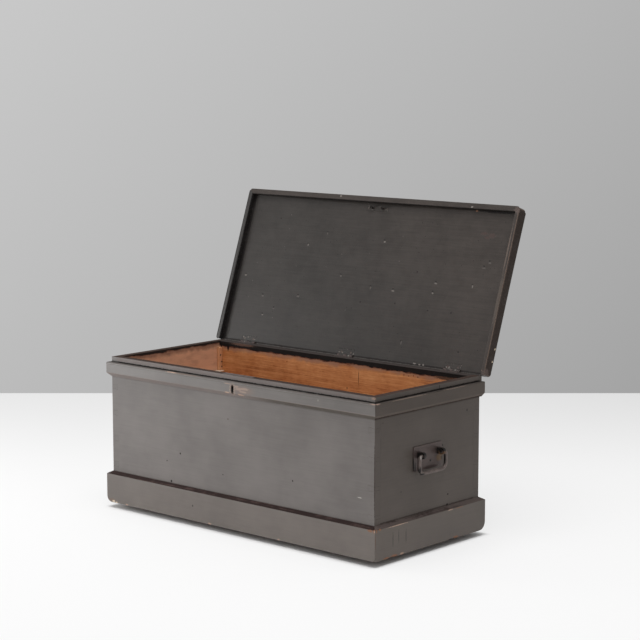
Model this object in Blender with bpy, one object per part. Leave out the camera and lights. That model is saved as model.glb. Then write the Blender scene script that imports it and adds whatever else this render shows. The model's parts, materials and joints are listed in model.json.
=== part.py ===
"""Dovetailed pine chest, painted outside and bare inside, with its lid standing open.

Metres, +Z up. The origin is on the floor under the middle of the chest. X runs along the
front, to the right, and Y runs from the front to the back.
"""

import math

import bmesh
import bpy
from mathutils import Matrix, Vector

# Fits
GAP = 0.0003  # left between pieces that touch
OVERSHOOT = 0.004  # how far a cut runs past the face it opens on
ARC_STEPS = 4  # facets in a quarter of a small round

# Walls
CARCASE_LENGTH = 0.895
CARCASE_DEPTH = 0.398
WALL_HEIGHT = 0.3624
WALL_THICKNESS = 0.020
TAIL_COUNT = 5
PIN_TIP = 0.009  # narrow end of a dovetail pin
HALF_PIN = 0.014
DOVETAIL_SLOPE = 1 / 7

# Bottom and runners
BOTTOM_THICKNESS = 0.016
RUNNER_HEIGHT = 0.020
RUNNER_WIDTH = 0.045
RUNNER_SETBACK = 0.065  # from the plinth's outer face

# Plinth
PLINTH_THICKNESS = 0.0122
PLINTH_FLOOR_GAP = 0.014
PLINTH_FACE_HEIGHT = 0.075
PLINTH_SLOPE_RISE = 0.007
WORN_FRONT_LEFT = 0.016  # radii of the worn lower corners
WORN_FRONT_RIGHT = 0.006
WORN_BACK_RIGHT = 0.020
WORN_BACK_LEFT = 0.012

# Band and hinge rail
BAND_THICKNESS = 0.0105
RAIL_THICKNESS = 0.0082
BAND_HEIGHT = 0.0385
BAND_CHAMFER_RISE = 0.0105
BAND_ARRIS = 0.0015
LIP_HEIGHT = 0.014  # of the walls above the band

# Tray runners and corner battens
TRAY_DEPTH = 0.080  # from the lip down to the runners' tops
TRAY_RUNNER_WIDTH = 0.018
TRAY_RUNNER_HEIGHT = 0.016
BATTEN_SIDE = 0.0105
BATTEN_DROP = 0.016  # from the lip down to the battens' tops
BATTEN_ARRIS = 0.002

# Lid
LID_OPEN_ANGLE = math.radians(109)
PANEL_THICKNESS = 0.016
RIM_THICKNESS = 0.012
RIM_CLEARANCE = 0.0015  # between the rim and the lip
RIM_SEAT_CLEARANCE = 0.0013  # between the shut rim and the band
LID_CORNER_RADIUS = 0.009
RIM_BACK_RADIUS = 0.007
RIM_TOP_ROUND = 0.005
RIM_ARRIS = 0.0015
LID_BACK_OVERHANG = 0.002  # past the hinge axis

# Hinges
HINGE_INSET = 0.0965  # of an outer hinge's middle, from the end of the carcase
HINGE_LENGTH = 0.052
HINGE_SETOUT = 0.0055  # axis behind the hinge rail
LEAF_DEPTH = 0.018  # from the axis to the leaf's edge
LEAF_THICKNESS = 0.002
KNUCKLE_COUNT = 5
KNUCKLE_RADIUS = 0.004
HINGE_PIN_RADIUS = 0.002
KNUCKLE_SIDES = 14
HEEL_REACH = 0.009  # from the axis to the tip of a stop heel
HEEL_THICKNESS = 0.0022
HEEL_ANGLE = math.radians(30)  # of the shut lid's heel above level

# Wood screws
SCREW_SPREAD = 0.032  # between the two screws of a leaf
SCREW_HEAD_RADIUS = 0.0031
SCREW_SHANK_RADIUS = 0.0015
SCREW_LENGTH = 0.012
SCREW_SIDES = 10

# Lock
LOCK_PLATE_LENGTH = 0.100
LOCK_PLATE_HEIGHT = 0.062
LOCK_PLATE_THICKNESS = 0.0025
LOCK_COVER = 0.0045  # wood left in front of the lock
CAP_LENGTH = 0.076
CAP_HEIGHT = 0.054
CAP_WALL = 0.0015
KEY_DEPTH = 0.0326  # from the lip down to the middle of the keyhole
KEYHOLE_HEIGHT = 0.021
KEYHOLE_RADIUS = 0.0042
KEYHOLE_SLOT = 0.0052
KEY_PIN_RADIUS = 0.0022
BOLT_STANDOFF = 0.0025  # from the lock plate
BOLT_THICKNESS = 0.0026
BOLT_LENGTH = 0.060
BOLT_BAR_HEIGHT = 0.007
BOLT_THROW = 0.008
PRONG_HEIGHT = 0.003
POST_WIDTH = 0.004
TALON_WIDTH = 0.009
TALON_DEPTH = 0.003
KEY_CLEARANCE = 0.0007  # between the key's barrel and the bolt
STUD_SPREAD = 0.036
STUD_RADIUS = 0.0013

# Link plate on the lid
LINK_LENGTH = 0.075
LINK_WIDTH = 0.013
LINK_THICKNESS = 0.002
STAPLE_SPREAD = 0.036
STAPLE_THICKNESS = 0.003
STAPLE_WIDTH = 0.0065
STAPLE_DROP = 0.0135
STAPLE_WEB = 0.003  # under the staple's eye
STAPLE_CLEARANCE = 0.0006

# Handles
HANDLE_SHIFT = -0.005  # of the plates' middle, towards the front
HANDLE_HEIGHT = 0.2305
HANDLE_PLATE_LENGTH = 0.108
HANDLE_PLATE_HEIGHT = 0.060
HANDLE_PLATE_THICKNESS = 0.0025
HANDLE_PLATE_CORNER = 0.003
HANDLE_AXIS_RISE = 0.0095  # above the plate's middle
HANDLE_STANDOFF = 0.0175  # of the axis from the end board
EYE_SPREAD = 0.074
EYE_THICKNESS = 0.007
EYE_RADIUS = 0.008
EYE_SHANK_RADIUS = 0.003
EYE_SIDES = 16
PIVOT_CLEARANCE = 0.0004
BAIL_SPREAD = 0.0992  # between the middles of its legs
BAIL_DROP = 0.043
BAIL_RADIUS = 0.0045
BAIL_END_RADIUS = 0.0034
BAIL_HEAD_RADIUS = 0.0046
BAIL_HEAD_LENGTH = 0.0025
BAIL_SHOULDER = 0.008
BAIL_CORNER = 0.015

# Places that follow from the sizes
HALF_LENGTH = CARCASE_LENGTH / 2
HALF_DEPTH = CARCASE_DEPTH / 2
BOTTOM_LOW = RUNNER_HEIGHT + GAP
WALL_LOW = BOTTOM_LOW + BOTTOM_THICKNESS + GAP
WALL_TOP = WALL_LOW + WALL_HEIGHT
INNER_X = HALF_LENGTH - WALL_THICKNESS
INNER_Y = HALF_DEPTH - WALL_THICKNESS
PLINTH_OUT = GAP + PLINTH_THICKNESS
BAND_OUT = GAP + BAND_THICKNESS
RAIL_BACK = HALF_DEPTH + GAP + RAIL_THICKNESS
BAND_TOP = WALL_TOP - LIP_HEIGHT
BAND_LOW = BAND_TOP - BAND_HEIGHT
TRAY_TOP = WALL_TOP - TRAY_DEPTH
UNDERSIDE = WALL_TOP + GAP  # of the shut lid
RIM_LOW = BAND_TOP + RIM_SEAT_CLEARANCE
LID_TOP = UNDERSIDE + PANEL_THICKNESS
AXIS_Y = RAIL_BACK + HINGE_SETOUT
AXIS_Z = WALL_TOP + GAP / 2
LID_BACK = AXIS_Y + LID_BACK_OVERHANG
SCREW_Y = RAIL_BACK - RAIL_THICKNESS / 2
KEY_Z = WALL_TOP - KEY_DEPTH
KEY_PIN_Z = KEY_Z + KEYHOLE_HEIGHT / 2 - KEYHOLE_RADIUS
LOCK_FRONT = -HALF_DEPTH + LOCK_COVER
LOCK_PLATE_FRONT = -INNER_Y - LOCK_PLATE_THICKNESS
BOLT_Y = LOCK_PLATE_FRONT - BOLT_STANDOFF - BOLT_THICKNESS / 2
EYE_Z = UNDERSIDE - STAPLE_DROP + STAPLE_WEB + PRONG_HEIGHT / 2 + STAPLE_CLEARANCE
HANDLE_AXIS_Z = HANDLE_HEIGHT + HANDLE_AXIS_RISE
PLATE_FACE = HALF_LENGTH + GAP + HANDLE_PLATE_THICKNESS
HINGE_X = HALF_LENGTH - HINGE_INSET
HINGES = {"left": -HINGE_X, "middle": 0.0, "right": HINGE_X}

UP = Vector((0, 0, 1))


def clear_scene():
    for item in list(bpy.data.objects):
        bpy.data.objects.remove(item, do_unlink=True)


def material(name, colour, roughness, metallic=0.0):
    made = bpy.data.materials.new(name)
    made.use_nodes = True
    shader = made.node_tree.nodes["Principled BSDF"]
    shader.inputs["Base Color"].default_value = (*colour, 1)
    shader.inputs["Roughness"].default_value = roughness
    shader.inputs["Metallic"].default_value = metallic
    return made


def add(name, bm, finish=None, parent=None, smooth=False):
    """Turns a bmesh in world coordinates into an object. A child's mesh is kept from its parent's place."""
    bmesh.ops.recalc_face_normals(bm, faces=bm.faces)
    if parent:
        bmesh.ops.translate(bm, verts=bm.verts, vec=-parent.location)
    mesh = bpy.data.meshes.new(name)
    bm.to_mesh(mesh)
    bm.free()
    made = bpy.data.objects.new(name, mesh)
    made.parent = parent
    bpy.context.collection.objects.link(made)
    if finish:
        mesh.materials.append(finish)
    if smooth:
        mesh.shade_smooth()
        mesh.set_sharp_from_angle(angle=math.radians(40))
    return made


def cutter(name, bm, parent=None):
    made = add(name, bm, parent=parent)
    made.hide_render = True
    made.display_type = "WIRE"
    return made


def combine(target, other, operation):
    step = target.modifiers.new(f"{operation.lower()}_{other.name}", "BOOLEAN")
    step.operation = operation
    step.object = other


def cut(other, *targets):
    for target in targets:
        combine(target, other, "DIFFERENCE")


def box(bm, low, high):
    low = Vector(low)
    high = Vector(high)
    place = Matrix.Translation((low + high) / 2) @ Matrix.Diagonal((*(high - low), 1))
    bmesh.ops.create_cube(bm, size=1, matrix=place)


def loft(bm, sections):
    """Closed skin through rings of points, each with as many points as the last."""
    rings = [[bm.verts.new(point) for point in section] for section in sections]
    for ring, following in zip(rings, rings[1:]):
        for i in range(len(ring)):
            j = (i + 1) % len(ring)
            bm.faces.new((ring[i], ring[j], following[j], following[i]))
    bm.faces.new(rings[0])
    bm.faces.new(reversed(rings[-1]))


def prism(bm, outline, start, end, place):
    """Extrudes an outline of (a, b) points; place(a, b, c) gives a world point at depth c."""
    loft(bm, [[place(a, b, c) for a, b in outline] for c in (start, end)])


def along_x(y, z, x):
    return (x, y, z)


def along_y(x, z, y):
    return (x, y, z)


def along_z(x, y, z):
    return (x, y, z)


def rectangle(low_a, low_b, high_a, high_b):
    return [(low_a, low_b), (high_a, low_b), (high_a, high_b), (low_a, high_b)]


def arc(centre, radius, start, end, steps):
    angles = [math.radians(start + (end - start) * i / steps) for i in range(steps + 1)]
    return [(centre[0] + radius * math.cos(a), centre[1] + radius * math.sin(a)) for a in angles]


def turned(bm, profile, origin, axis, sides):
    """Turns a profile of (radius, height) points round the axis that starts at the origin."""
    spin = UP.rotation_difference(Vector(axis)).to_matrix()
    sections = []
    for radius, height in profile:
        ring = arc((0, 0), radius, 0, 360, sides)[:-1]
        sections.append([Vector(origin) + spin @ Vector((a, b, height)) for a, b in ring])
    loft(bm, sections)


def rod(bm, start, end, radius, sides):
    axis = Vector(end) - Vector(start)
    turned(bm, [(radius, 0), (radius, axis.length)], start, axis, sides)


def tail_heights():
    """Low and high corners of each dovetail at its wide tip."""
    tails = WALL_HEIGHT - 2 * HALF_PIN - (TAIL_COUNT - 1) * PIN_TIP
    width = tails / TAIL_COUNT
    lows = [WALL_LOW + HALF_PIN + i * (width + PIN_TIP) for i in range(TAIL_COUNT)]
    return [(low, low + width) for low in lows]


def build_long_wall(name, side, finish):
    """Front or back board, with tails at both ends; side is -1 at the front."""
    shoulder = WALL_THICKNESS * DOVETAIL_SLOPE
    edge = [(INNER_X, WALL_LOW)]
    for low, high in tail_heights():
        edge.append((INNER_X, low + shoulder))
        edge.append((HALF_LENGTH, low))
        edge.append((HALF_LENGTH, high))
        edge.append((INNER_X, high - shoulder))
    edge.append((INNER_X, WALL_TOP))
    outline = edge + [(-x, z) for x, z in reversed(edge)]
    bm = bmesh.new()
    prism(bm, outline, side * HALF_DEPTH, side * INNER_Y, along_y)
    return add(name, bm, finish)


def build_end_wall(name, side, finish):
    """End board, whose pins are what the tails leave of it; side is -1 on the left."""
    bm = bmesh.new()
    xs = sorted((side * (INNER_X + GAP), side * HALF_LENGTH))
    box(bm, (xs[0], -HALF_DEPTH, WALL_LOW), (xs[1], HALF_DEPTH, WALL_TOP))
    wall = add(name, bm, finish)
    sockets = bmesh.new()
    inside = INNER_X - OVERSHOOT
    outside = HALF_LENGTH + OVERSHOOT
    for low, high in tail_heights():
        for end in (-1, 1):
            outline = []
            for x, sign in ((inside, 1), (outside, -1)):
                spread = (HALF_LENGTH - x) * DOVETAIL_SLOPE - GAP
                pair = [(side * x, low + spread), (side * x, high - spread)]
                outline += pair[::sign]
            depth = sorted((end * (HALF_DEPTH + OVERSHOOT), end * (INNER_Y - GAP)))
            prism(sockets, outline, depth[0], depth[1], along_y)
    cut(cutter(f"sockets_{name}", sockets), wall)
    return wall


def build_bottom(finish):
    for name, low, high in (("front", -HALF_DEPTH, -GAP / 2), ("back", GAP / 2, HALF_DEPTH)):
        bm = bmesh.new()
        box(bm, (-HALF_LENGTH, low, BOTTOM_LOW), (HALF_LENGTH, high, BOTTOM_LOW + BOTTOM_THICKNESS))
        add(f"bottom_board_{name}", bm, finish)


def build_runners(finish):
    reach = HALF_DEPTH + PLINTH_OUT - RUNNER_SETBACK
    outer = HALF_LENGTH + PLINTH_OUT - RUNNER_SETBACK - RUNNER_WIDTH / 2
    for name, x in (("left", -outer), ("middle", 0.0), ("right", outer)):
        bm = bmesh.new()
        low = (x - RUNNER_WIDTH / 2, -reach, 0)
        box(bm, low, (x + RUNNER_WIDTH / 2, reach, RUNNER_HEIGHT))
        add(f"runner_{name}", bm, finish)


def side_place(turns):
    """Places (along, out, z) points of a piece that is drawn on the front and turned to its side."""
    spin = Matrix.Rotation(math.radians(90 * turns), 3, "Z")
    return lambda along, out, z: spin @ Vector((along, -out, z))


def build_plinth_piece(name, turns, half, face, worn, finish):
    """Mitred plinth piece; worn holds the radii of its lower corners, low end first."""
    place = side_place(turns)
    bottom = PLINTH_FLOOR_GAP
    top = bottom + PLINTH_FACE_HEIGHT

    def low_edge(distance, radius):
        inset = max(radius - distance, 0)
        return bottom + radius - math.sqrt(radius**2 - inset**2)

    def section(end, radius, shift):
        points = []
        for depth, high in ((0, top), (PLINTH_THICKNESS, top + PLINTH_SLOPE_RISE)):
            distance = shift + depth
            along = end * (half - distance - GAP / 2)
            pair = [(along, face - depth, low_edge(distance, radius)), (along, face - depth, high)]
            points += pair if depth == 0 else pair[::-1]
        return [place(*point) for point in points]

    shifts = [1 - math.cos(math.radians(90 * i / ARC_STEPS)) for i in range(ARC_STEPS + 1)]
    sections = [section(-1, worn[0], worn[0] * shift) for shift in shifts]
    sections += [section(1, worn[1], worn[1] * shift) for shift in reversed(shifts)]
    bm = bmesh.new()
    loft(bm, sections)
    return add(name, bm, finish)


def build_plinth(finish):
    length = HALF_LENGTH + PLINTH_OUT
    depth = HALF_DEPTH + PLINTH_OUT
    front_left, front_right = WORN_FRONT_LEFT, WORN_FRONT_RIGHT
    back_left, back_right = WORN_BACK_LEFT, WORN_BACK_RIGHT
    build_plinth_piece("plinth_front", 0, length, depth, (front_left, front_right), finish)
    build_plinth_piece("plinth_right", 1, depth, length, (front_right, back_right), finish)
    build_plinth_piece("plinth_back", 2, length, depth, (back_right, back_left), finish)
    build_plinth_piece("plinth_left", 3, depth, length, (back_left, front_left), finish)


def band_profile(thickness, top):
    """Points (depth from the face, z) round the section of the band or the hinge rail."""
    return [
        (thickness, BAND_LOW),
        (0, BAND_LOW + BAND_CHAMFER_RISE),
        (0, top - BAND_ARRIS),
        (BAND_ARRIS, top),
        (thickness, top),
    ]


def build_band_piece(name, turns, face, ends, profile, finish):
    """Piece with this profile between two ends, each given as along(depth)."""
    place = side_place(turns)
    bm = bmesh.new()
    loft(bm, [[place(end(depth), face - depth, z) for depth, z in profile] for end in ends])
    return add(name, bm, finish)


def build_band(finish):
    length = HALF_LENGTH + BAND_OUT
    depth = HALF_DEPTH + BAND_OUT

    def mitre(sign, half):
        return lambda inset: sign * (half - inset - GAP / 2)

    def square(value):
        return lambda inset: value

    profile = band_profile(BAND_THICKNESS, BAND_TOP)
    front = (mitre(-1, length), mitre(1, length))
    band = build_band_piece("band_front", 0, depth, front, profile, finish)
    right = (mitre(-1, depth), square(RAIL_BACK))
    build_band_piece("band_right", 1, length, right, profile, finish)
    left = (square(-RAIL_BACK), mitre(1, depth))
    build_band_piece("band_left", 3, length, left, profile, finish)
    back = (square(-HALF_LENGTH), square(HALF_LENGTH))
    rail_profile = band_profile(RAIL_THICKNESS, WALL_TOP)
    rail = build_band_piece("hinge_rail", 2, RAIL_BACK, back, rail_profile, finish)
    return band, rail


def build_inside(finish):
    """Tray runners on the ends, and the corner battens that stand on them."""
    for name, side in (("left", -1), ("right", 1)):
        bm = bmesh.new()
        xs = sorted((side * (INNER_X - TRAY_RUNNER_WIDTH), side * (INNER_X - GAP)))
        low = (xs[0], -INNER_Y + GAP, TRAY_TOP - TRAY_RUNNER_HEIGHT)
        box(bm, low, (xs[1], INNER_Y - GAP, TRAY_TOP))
        add(f"tray_runner_{name}", bm, finish)
        for place, end in (("front", -1), ("back", 1)):
            x = side * (INNER_X - GAP)
            y = end * (INNER_Y - GAP)
            far_x = x - side * BATTEN_SIDE
            far_y = y - end * BATTEN_SIDE
            outline = [(x, y), (far_x, y), (far_x, far_y + end * BATTEN_ARRIS)]
            outline += [(far_x + side * BATTEN_ARRIS, far_y), (x, far_y)]
            bm = bmesh.new()
            prism(bm, outline, TRAY_TOP + GAP, WALL_TOP - BATTEN_DROP, along_z)
            add(f"corner_batten_{place}_{name}", bm, finish)


def bevel_outer_edges(bm, faces_z, is_outer, width, steps):
    """Rounds the edges of a flat end face at height faces_z that lie on the piece's outer side."""
    level = [e for e in bm.edges if all(abs(v.co.z - faces_z) < GAP / 10 for v in e.verts)]
    chosen = [e for e in level if is_outer((e.verts[0].co + e.verts[1].co) / 2)]
    bmesh.ops.bevel(bm, geom=chosen, offset=width, segments=steps, profile=0.5, affect="EDGES")


def build_rim(name, outline, is_outer, finish, parent):
    bm = bmesh.new()
    prism(bm, outline, RIM_LOW, LID_TOP, along_z)
    bevel_outer_edges(bm, LID_TOP, is_outer, RIM_TOP_ROUND, ARC_STEPS)
    bevel_outer_edges(bm, RIM_LOW, is_outer, RIM_ARRIS, 1)
    add(name, bm, finish, parent, smooth=True)


def build_rims(finish, parent):
    inner_x = HALF_LENGTH + RIM_CLEARANCE
    inner_y = HALF_DEPTH + RIM_CLEARANCE
    outer_x = inner_x + RIM_THICKNESS
    outer_y = inner_y + RIM_THICKNESS
    radius = LID_CORNER_RADIUS
    half_gap = GAP / 2
    slack = RIM_THICKNESS / 4

    corner = (outer_x - radius - half_gap, -outer_y + radius)
    right_half = arc(corner, radius, 270, 315, ARC_STEPS)
    right_half.append((inner_x - half_gap, -inner_y))
    front = [(-x, y) for x, y in reversed(right_half)] + right_half

    def front_outer(point):
        on_face = point.y < -inner_y - slack
        return on_face and abs(point.x) - inner_x < -inner_y - point.y - GAP

    build_rim("lid_rim_front", front, front_outer, finish, parent)

    corner = (outer_x - radius, -outer_y + radius + half_gap)
    back = (outer_x - RIM_BACK_RADIUS, LID_BACK - RIM_BACK_RADIUS)
    side = [(inner_x, -inner_y + half_gap)]
    side += arc(corner, radius, 315, 360, ARC_STEPS)
    side += arc(back, RIM_BACK_RADIUS, 0, 90, ARC_STEPS)
    side.append((inner_x, LID_BACK))

    def side_outer(point):
        on_face = abs(point.x) > inner_x + slack
        return on_face and point.y + inner_y > inner_x - abs(point.x) + GAP

    build_rim("lid_rim_right", side, side_outer, finish, parent)
    mirrored = [(-x, y) for x, y in side]
    build_rim("lid_rim_left", mirrored, side_outer, finish, parent)


def build_panel(finish, parent):
    half = HALF_LENGTH + RIM_CLEARANCE - GAP
    front = -HALF_DEPTH - RIM_CLEARANCE + GAP
    bm = bmesh.new()
    box(bm, (-half, front, UNDERSIDE), (half, LID_BACK, LID_TOP))
    return add("lid_panel", bm, finish, parent)


def cut_hinge_gains(panel, rail, back_board, lid):
    """Shallow seats for the leaves, and room for the knuckles in the lid's back edge."""
    half = HINGE_LENGTH / 2 + GAP
    leaf_edge = AXIS_Y - LEAF_DEPTH - GAP
    seat = LEAF_THICKNESS + GAP
    knuckle = KNUCKLE_RADIUS + 2 * GAP
    body_gains = bmesh.new()
    lid_gains = bmesh.new()
    for x in HINGES.values():
        low = (x - half, leaf_edge, WALL_TOP - seat)
        box(body_gains, low, (x + half, AXIS_Y, WALL_TOP + OVERSHOOT))
        stepped = [
            (leaf_edge, UNDERSIDE - OVERSHOOT),
            (LID_BACK + OVERSHOOT, UNDERSIDE - OVERSHOOT),
            (LID_BACK + OVERSHOOT, AXIS_Z + knuckle),
            (AXIS_Y - knuckle, AXIS_Z + knuckle),
            (AXIS_Y - knuckle, UNDERSIDE + seat),
            (leaf_edge, UNDERSIDE + seat),
        ]
        prism(lid_gains, stepped, x - half, x + half, along_x)
    cut(cutter("hinge_gains_body", body_gains), rail, back_board)
    cut(cutter("hinge_gains_lid", lid_gains, lid), panel)


def knuckle_spans(x):
    """Ends of each knuckle along the axis, with a gap between neighbours."""
    pitch = HINGE_LENGTH / KNUCKLE_COUNT
    starts = [x - HINGE_LENGTH / 2 + i * pitch for i in range(KNUCKLE_COUNT)]
    return [(start + GAP / 2, start + pitch - GAP / 2) for start in starts]


def leaf_outline(x, own):
    """Leaf in plan, seen along its thickness, with a tab into each of its own knuckles."""
    root = AXIS_Y - KNUCKLE_RADIUS - 2 * GAP
    tab = AXIS_Y - (KNUCKLE_RADIUS + HINGE_PIN_RADIUS) / 2
    low = x - HINGE_LENGTH / 2
    high = x + HINGE_LENGTH / 2
    outline = [(high, AXIS_Y - LEAF_DEPTH), (low, AXIS_Y - LEAF_DEPTH), (low, root)]
    for start, end in own:
        outline += [(start + GAP, root), (start + GAP, tab), (end - GAP, tab), (end - GAP, root)]
    outline.append((high, root))
    return outline


def heel(bm, outline, angle):
    """Radial stop fin, from an outline of (x, distance from the axis) points."""
    half = HEEL_THICKNESS / 2
    along = Vector((0, math.cos(angle), math.sin(angle)))
    across = Vector((0, -math.sin(angle), math.cos(angle)))
    axis = Vector((0, AXIS_Y, AXIS_Z))

    def place(x, reach, offset):
        return axis + Vector((x, 0, 0)) + along * reach + across * offset

    prism(bm, outline, -half, half, place)


def heel_meeting_angle(inner):
    """Angle between the two heels when their inner edges are one gap apart."""
    half = HEEL_THICKNESS / 2
    return 2 * (math.asin(GAP / 2 / math.hypot(inner, half)) + math.atan(half / inner))


def build_leaf(name, x, own, low, high, heels, angle, finish, parent=None):
    bm = bmesh.new()
    prism(bm, leaf_outline(x, own), low, high, along_z)
    leaf = add(name, bm, finish, parent, smooth=True)
    for i, (start, end) in enumerate(own):
        barrel = bmesh.new()
        rod(barrel, (start, AXIS_Y, AXIS_Z), (end, AXIS_Y, AXIS_Z), KNUCKLE_RADIUS, KNUCKLE_SIDES)
        combine(leaf, cutter(f"barrel_{name}_{i}", barrel, parent), "UNION")
    for i, outline in enumerate(heels):
        fin = bmesh.new()
        heel(fin, outline, angle)
        combine(leaf, cutter(f"heel_{name}_{i}", fin, parent), "UNION")
    bore = bmesh.new()
    ends = [(x + side * HINGE_LENGTH, AXIS_Y, AXIS_Z) for side in (-1, 1)]
    rod(bore, ends[0], ends[1], HINGE_PIN_RADIUS + GAP, KNUCKLE_SIDES)
    cut(cutter(f"bore_{name}", bore, parent), leaf)
    return leaf


def screw_profile(grow, head_rise):
    """Turned section of a countersunk screw, its head's face at height 0 and its tip below."""
    head = SCREW_HEAD_RADIUS + grow
    shank = SCREW_SHANK_RADIUS + grow
    taper = SCREW_HEAD_RADIUS - SCREW_SHANK_RADIUS
    profile = [(head, head_rise)] if head_rise else []
    return profile + [(head, 0), (shank, -taper), (shank, -SCREW_LENGTH - grow)]


def add_screws(name, x, z, up, leaf, wood, finish, parent=None):
    """Two countersunk screws through a leaf, heads level with its face, and their holes."""
    holes = bmesh.new()
    for i, side in enumerate((-1, 1)):
        origin = (x + side * SCREW_SPREAD / 2, SCREW_Y, z)
        bm = bmesh.new()
        turned(bm, screw_profile(0, 0), origin, (0, 0, up), SCREW_SIDES)
        add(f"{name}_screw_{i + 1}", bm, finish, parent, smooth=True)
        turned(holes, screw_profile(GAP, OVERSHOOT), origin, (0, 0, up), SCREW_SIDES)
    cut(cutter(f"holes_{name}", holes, parent), leaf, wood)


def body_heel_outline(own_lid, middle, root, fin_start):
    """Fin on the middle knuckle that reaches past it over the lid's knuckles on both sides."""
    left = own_lid[0][0] + GAP
    right = own_lid[-1][1] - GAP
    low = middle[0] + GAP
    high = middle[1] - GAP
    outline = [(left, fin_start), (low, fin_start), (low, root), (high, root), (high, fin_start)]
    return outline + [(right, fin_start), (right, HEEL_REACH), (left, HEEL_REACH)]


def build_hinges(panel, rail, lid, iron, steel):
    fin_start = KNUCKLE_RADIUS + 2 * GAP
    root = (KNUCKLE_RADIUS + HINGE_PIN_RADIUS) / 2
    rest_angle = HEEL_ANGLE - LID_OPEN_ANGLE - heel_meeting_angle(fin_start)
    for name, x in HINGES.items():
        spans = knuckle_spans(x)
        own_lid = spans[1::2]
        middle = spans[KNUCKLE_COUNT // 2]
        lid_heels = [rectangle(start + GAP, root, end - GAP, HEEL_REACH) for start, end in own_lid]
        body_leaf = build_leaf(
            f"hinge_{name}_body_leaf",
            x,
            spans[0::2],
            WALL_TOP - LEAF_THICKNESS,
            WALL_TOP,
            [body_heel_outline(own_lid, middle, root, fin_start)],
            rest_angle,
            iron,
        )
        lid_leaf = build_leaf(
            f"hinge_{name}_lid_leaf",
            x,
            own_lid,
            UNDERSIDE,
            UNDERSIDE + LEAF_THICKNESS,
            lid_heels,
            HEEL_ANGLE,
            iron,
            lid,
        )
        bm = bmesh.new()
        ends = [(x + side * HINGE_LENGTH / 2, AXIS_Y, AXIS_Z) for side in (-1, 1)]
        rod(bm, ends[0], ends[1], HINGE_PIN_RADIUS, KNUCKLE_SIDES)
        add(f"hinge_{name}_pin", bm, steel, smooth=True)
        add_screws(f"hinge_{name}_body", x, WALL_TOP, 1, body_leaf, rail, steel)
        add_screws(f"hinge_{name}_lid", x, UNDERSIDE, -1, lid_leaf, panel, steel, lid)


def keyhole_outline():
    """Round top and straight slot of the keyhole, as (x, z) points."""
    centre = (0, KEY_PIN_Z)
    dip = math.degrees(math.asin(KEYHOLE_SLOT / 2 / KEYHOLE_RADIUS))
    outline = arc(centre, KEYHOLE_RADIUS, dip - 90, 270 - dip, 3 * ARC_STEPS)
    low = KEY_Z - KEYHOLE_HEIGHT / 2
    return outline + [(-KEYHOLE_SLOT / 2, low), (KEYHOLE_SLOT / 2, low)]


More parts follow.
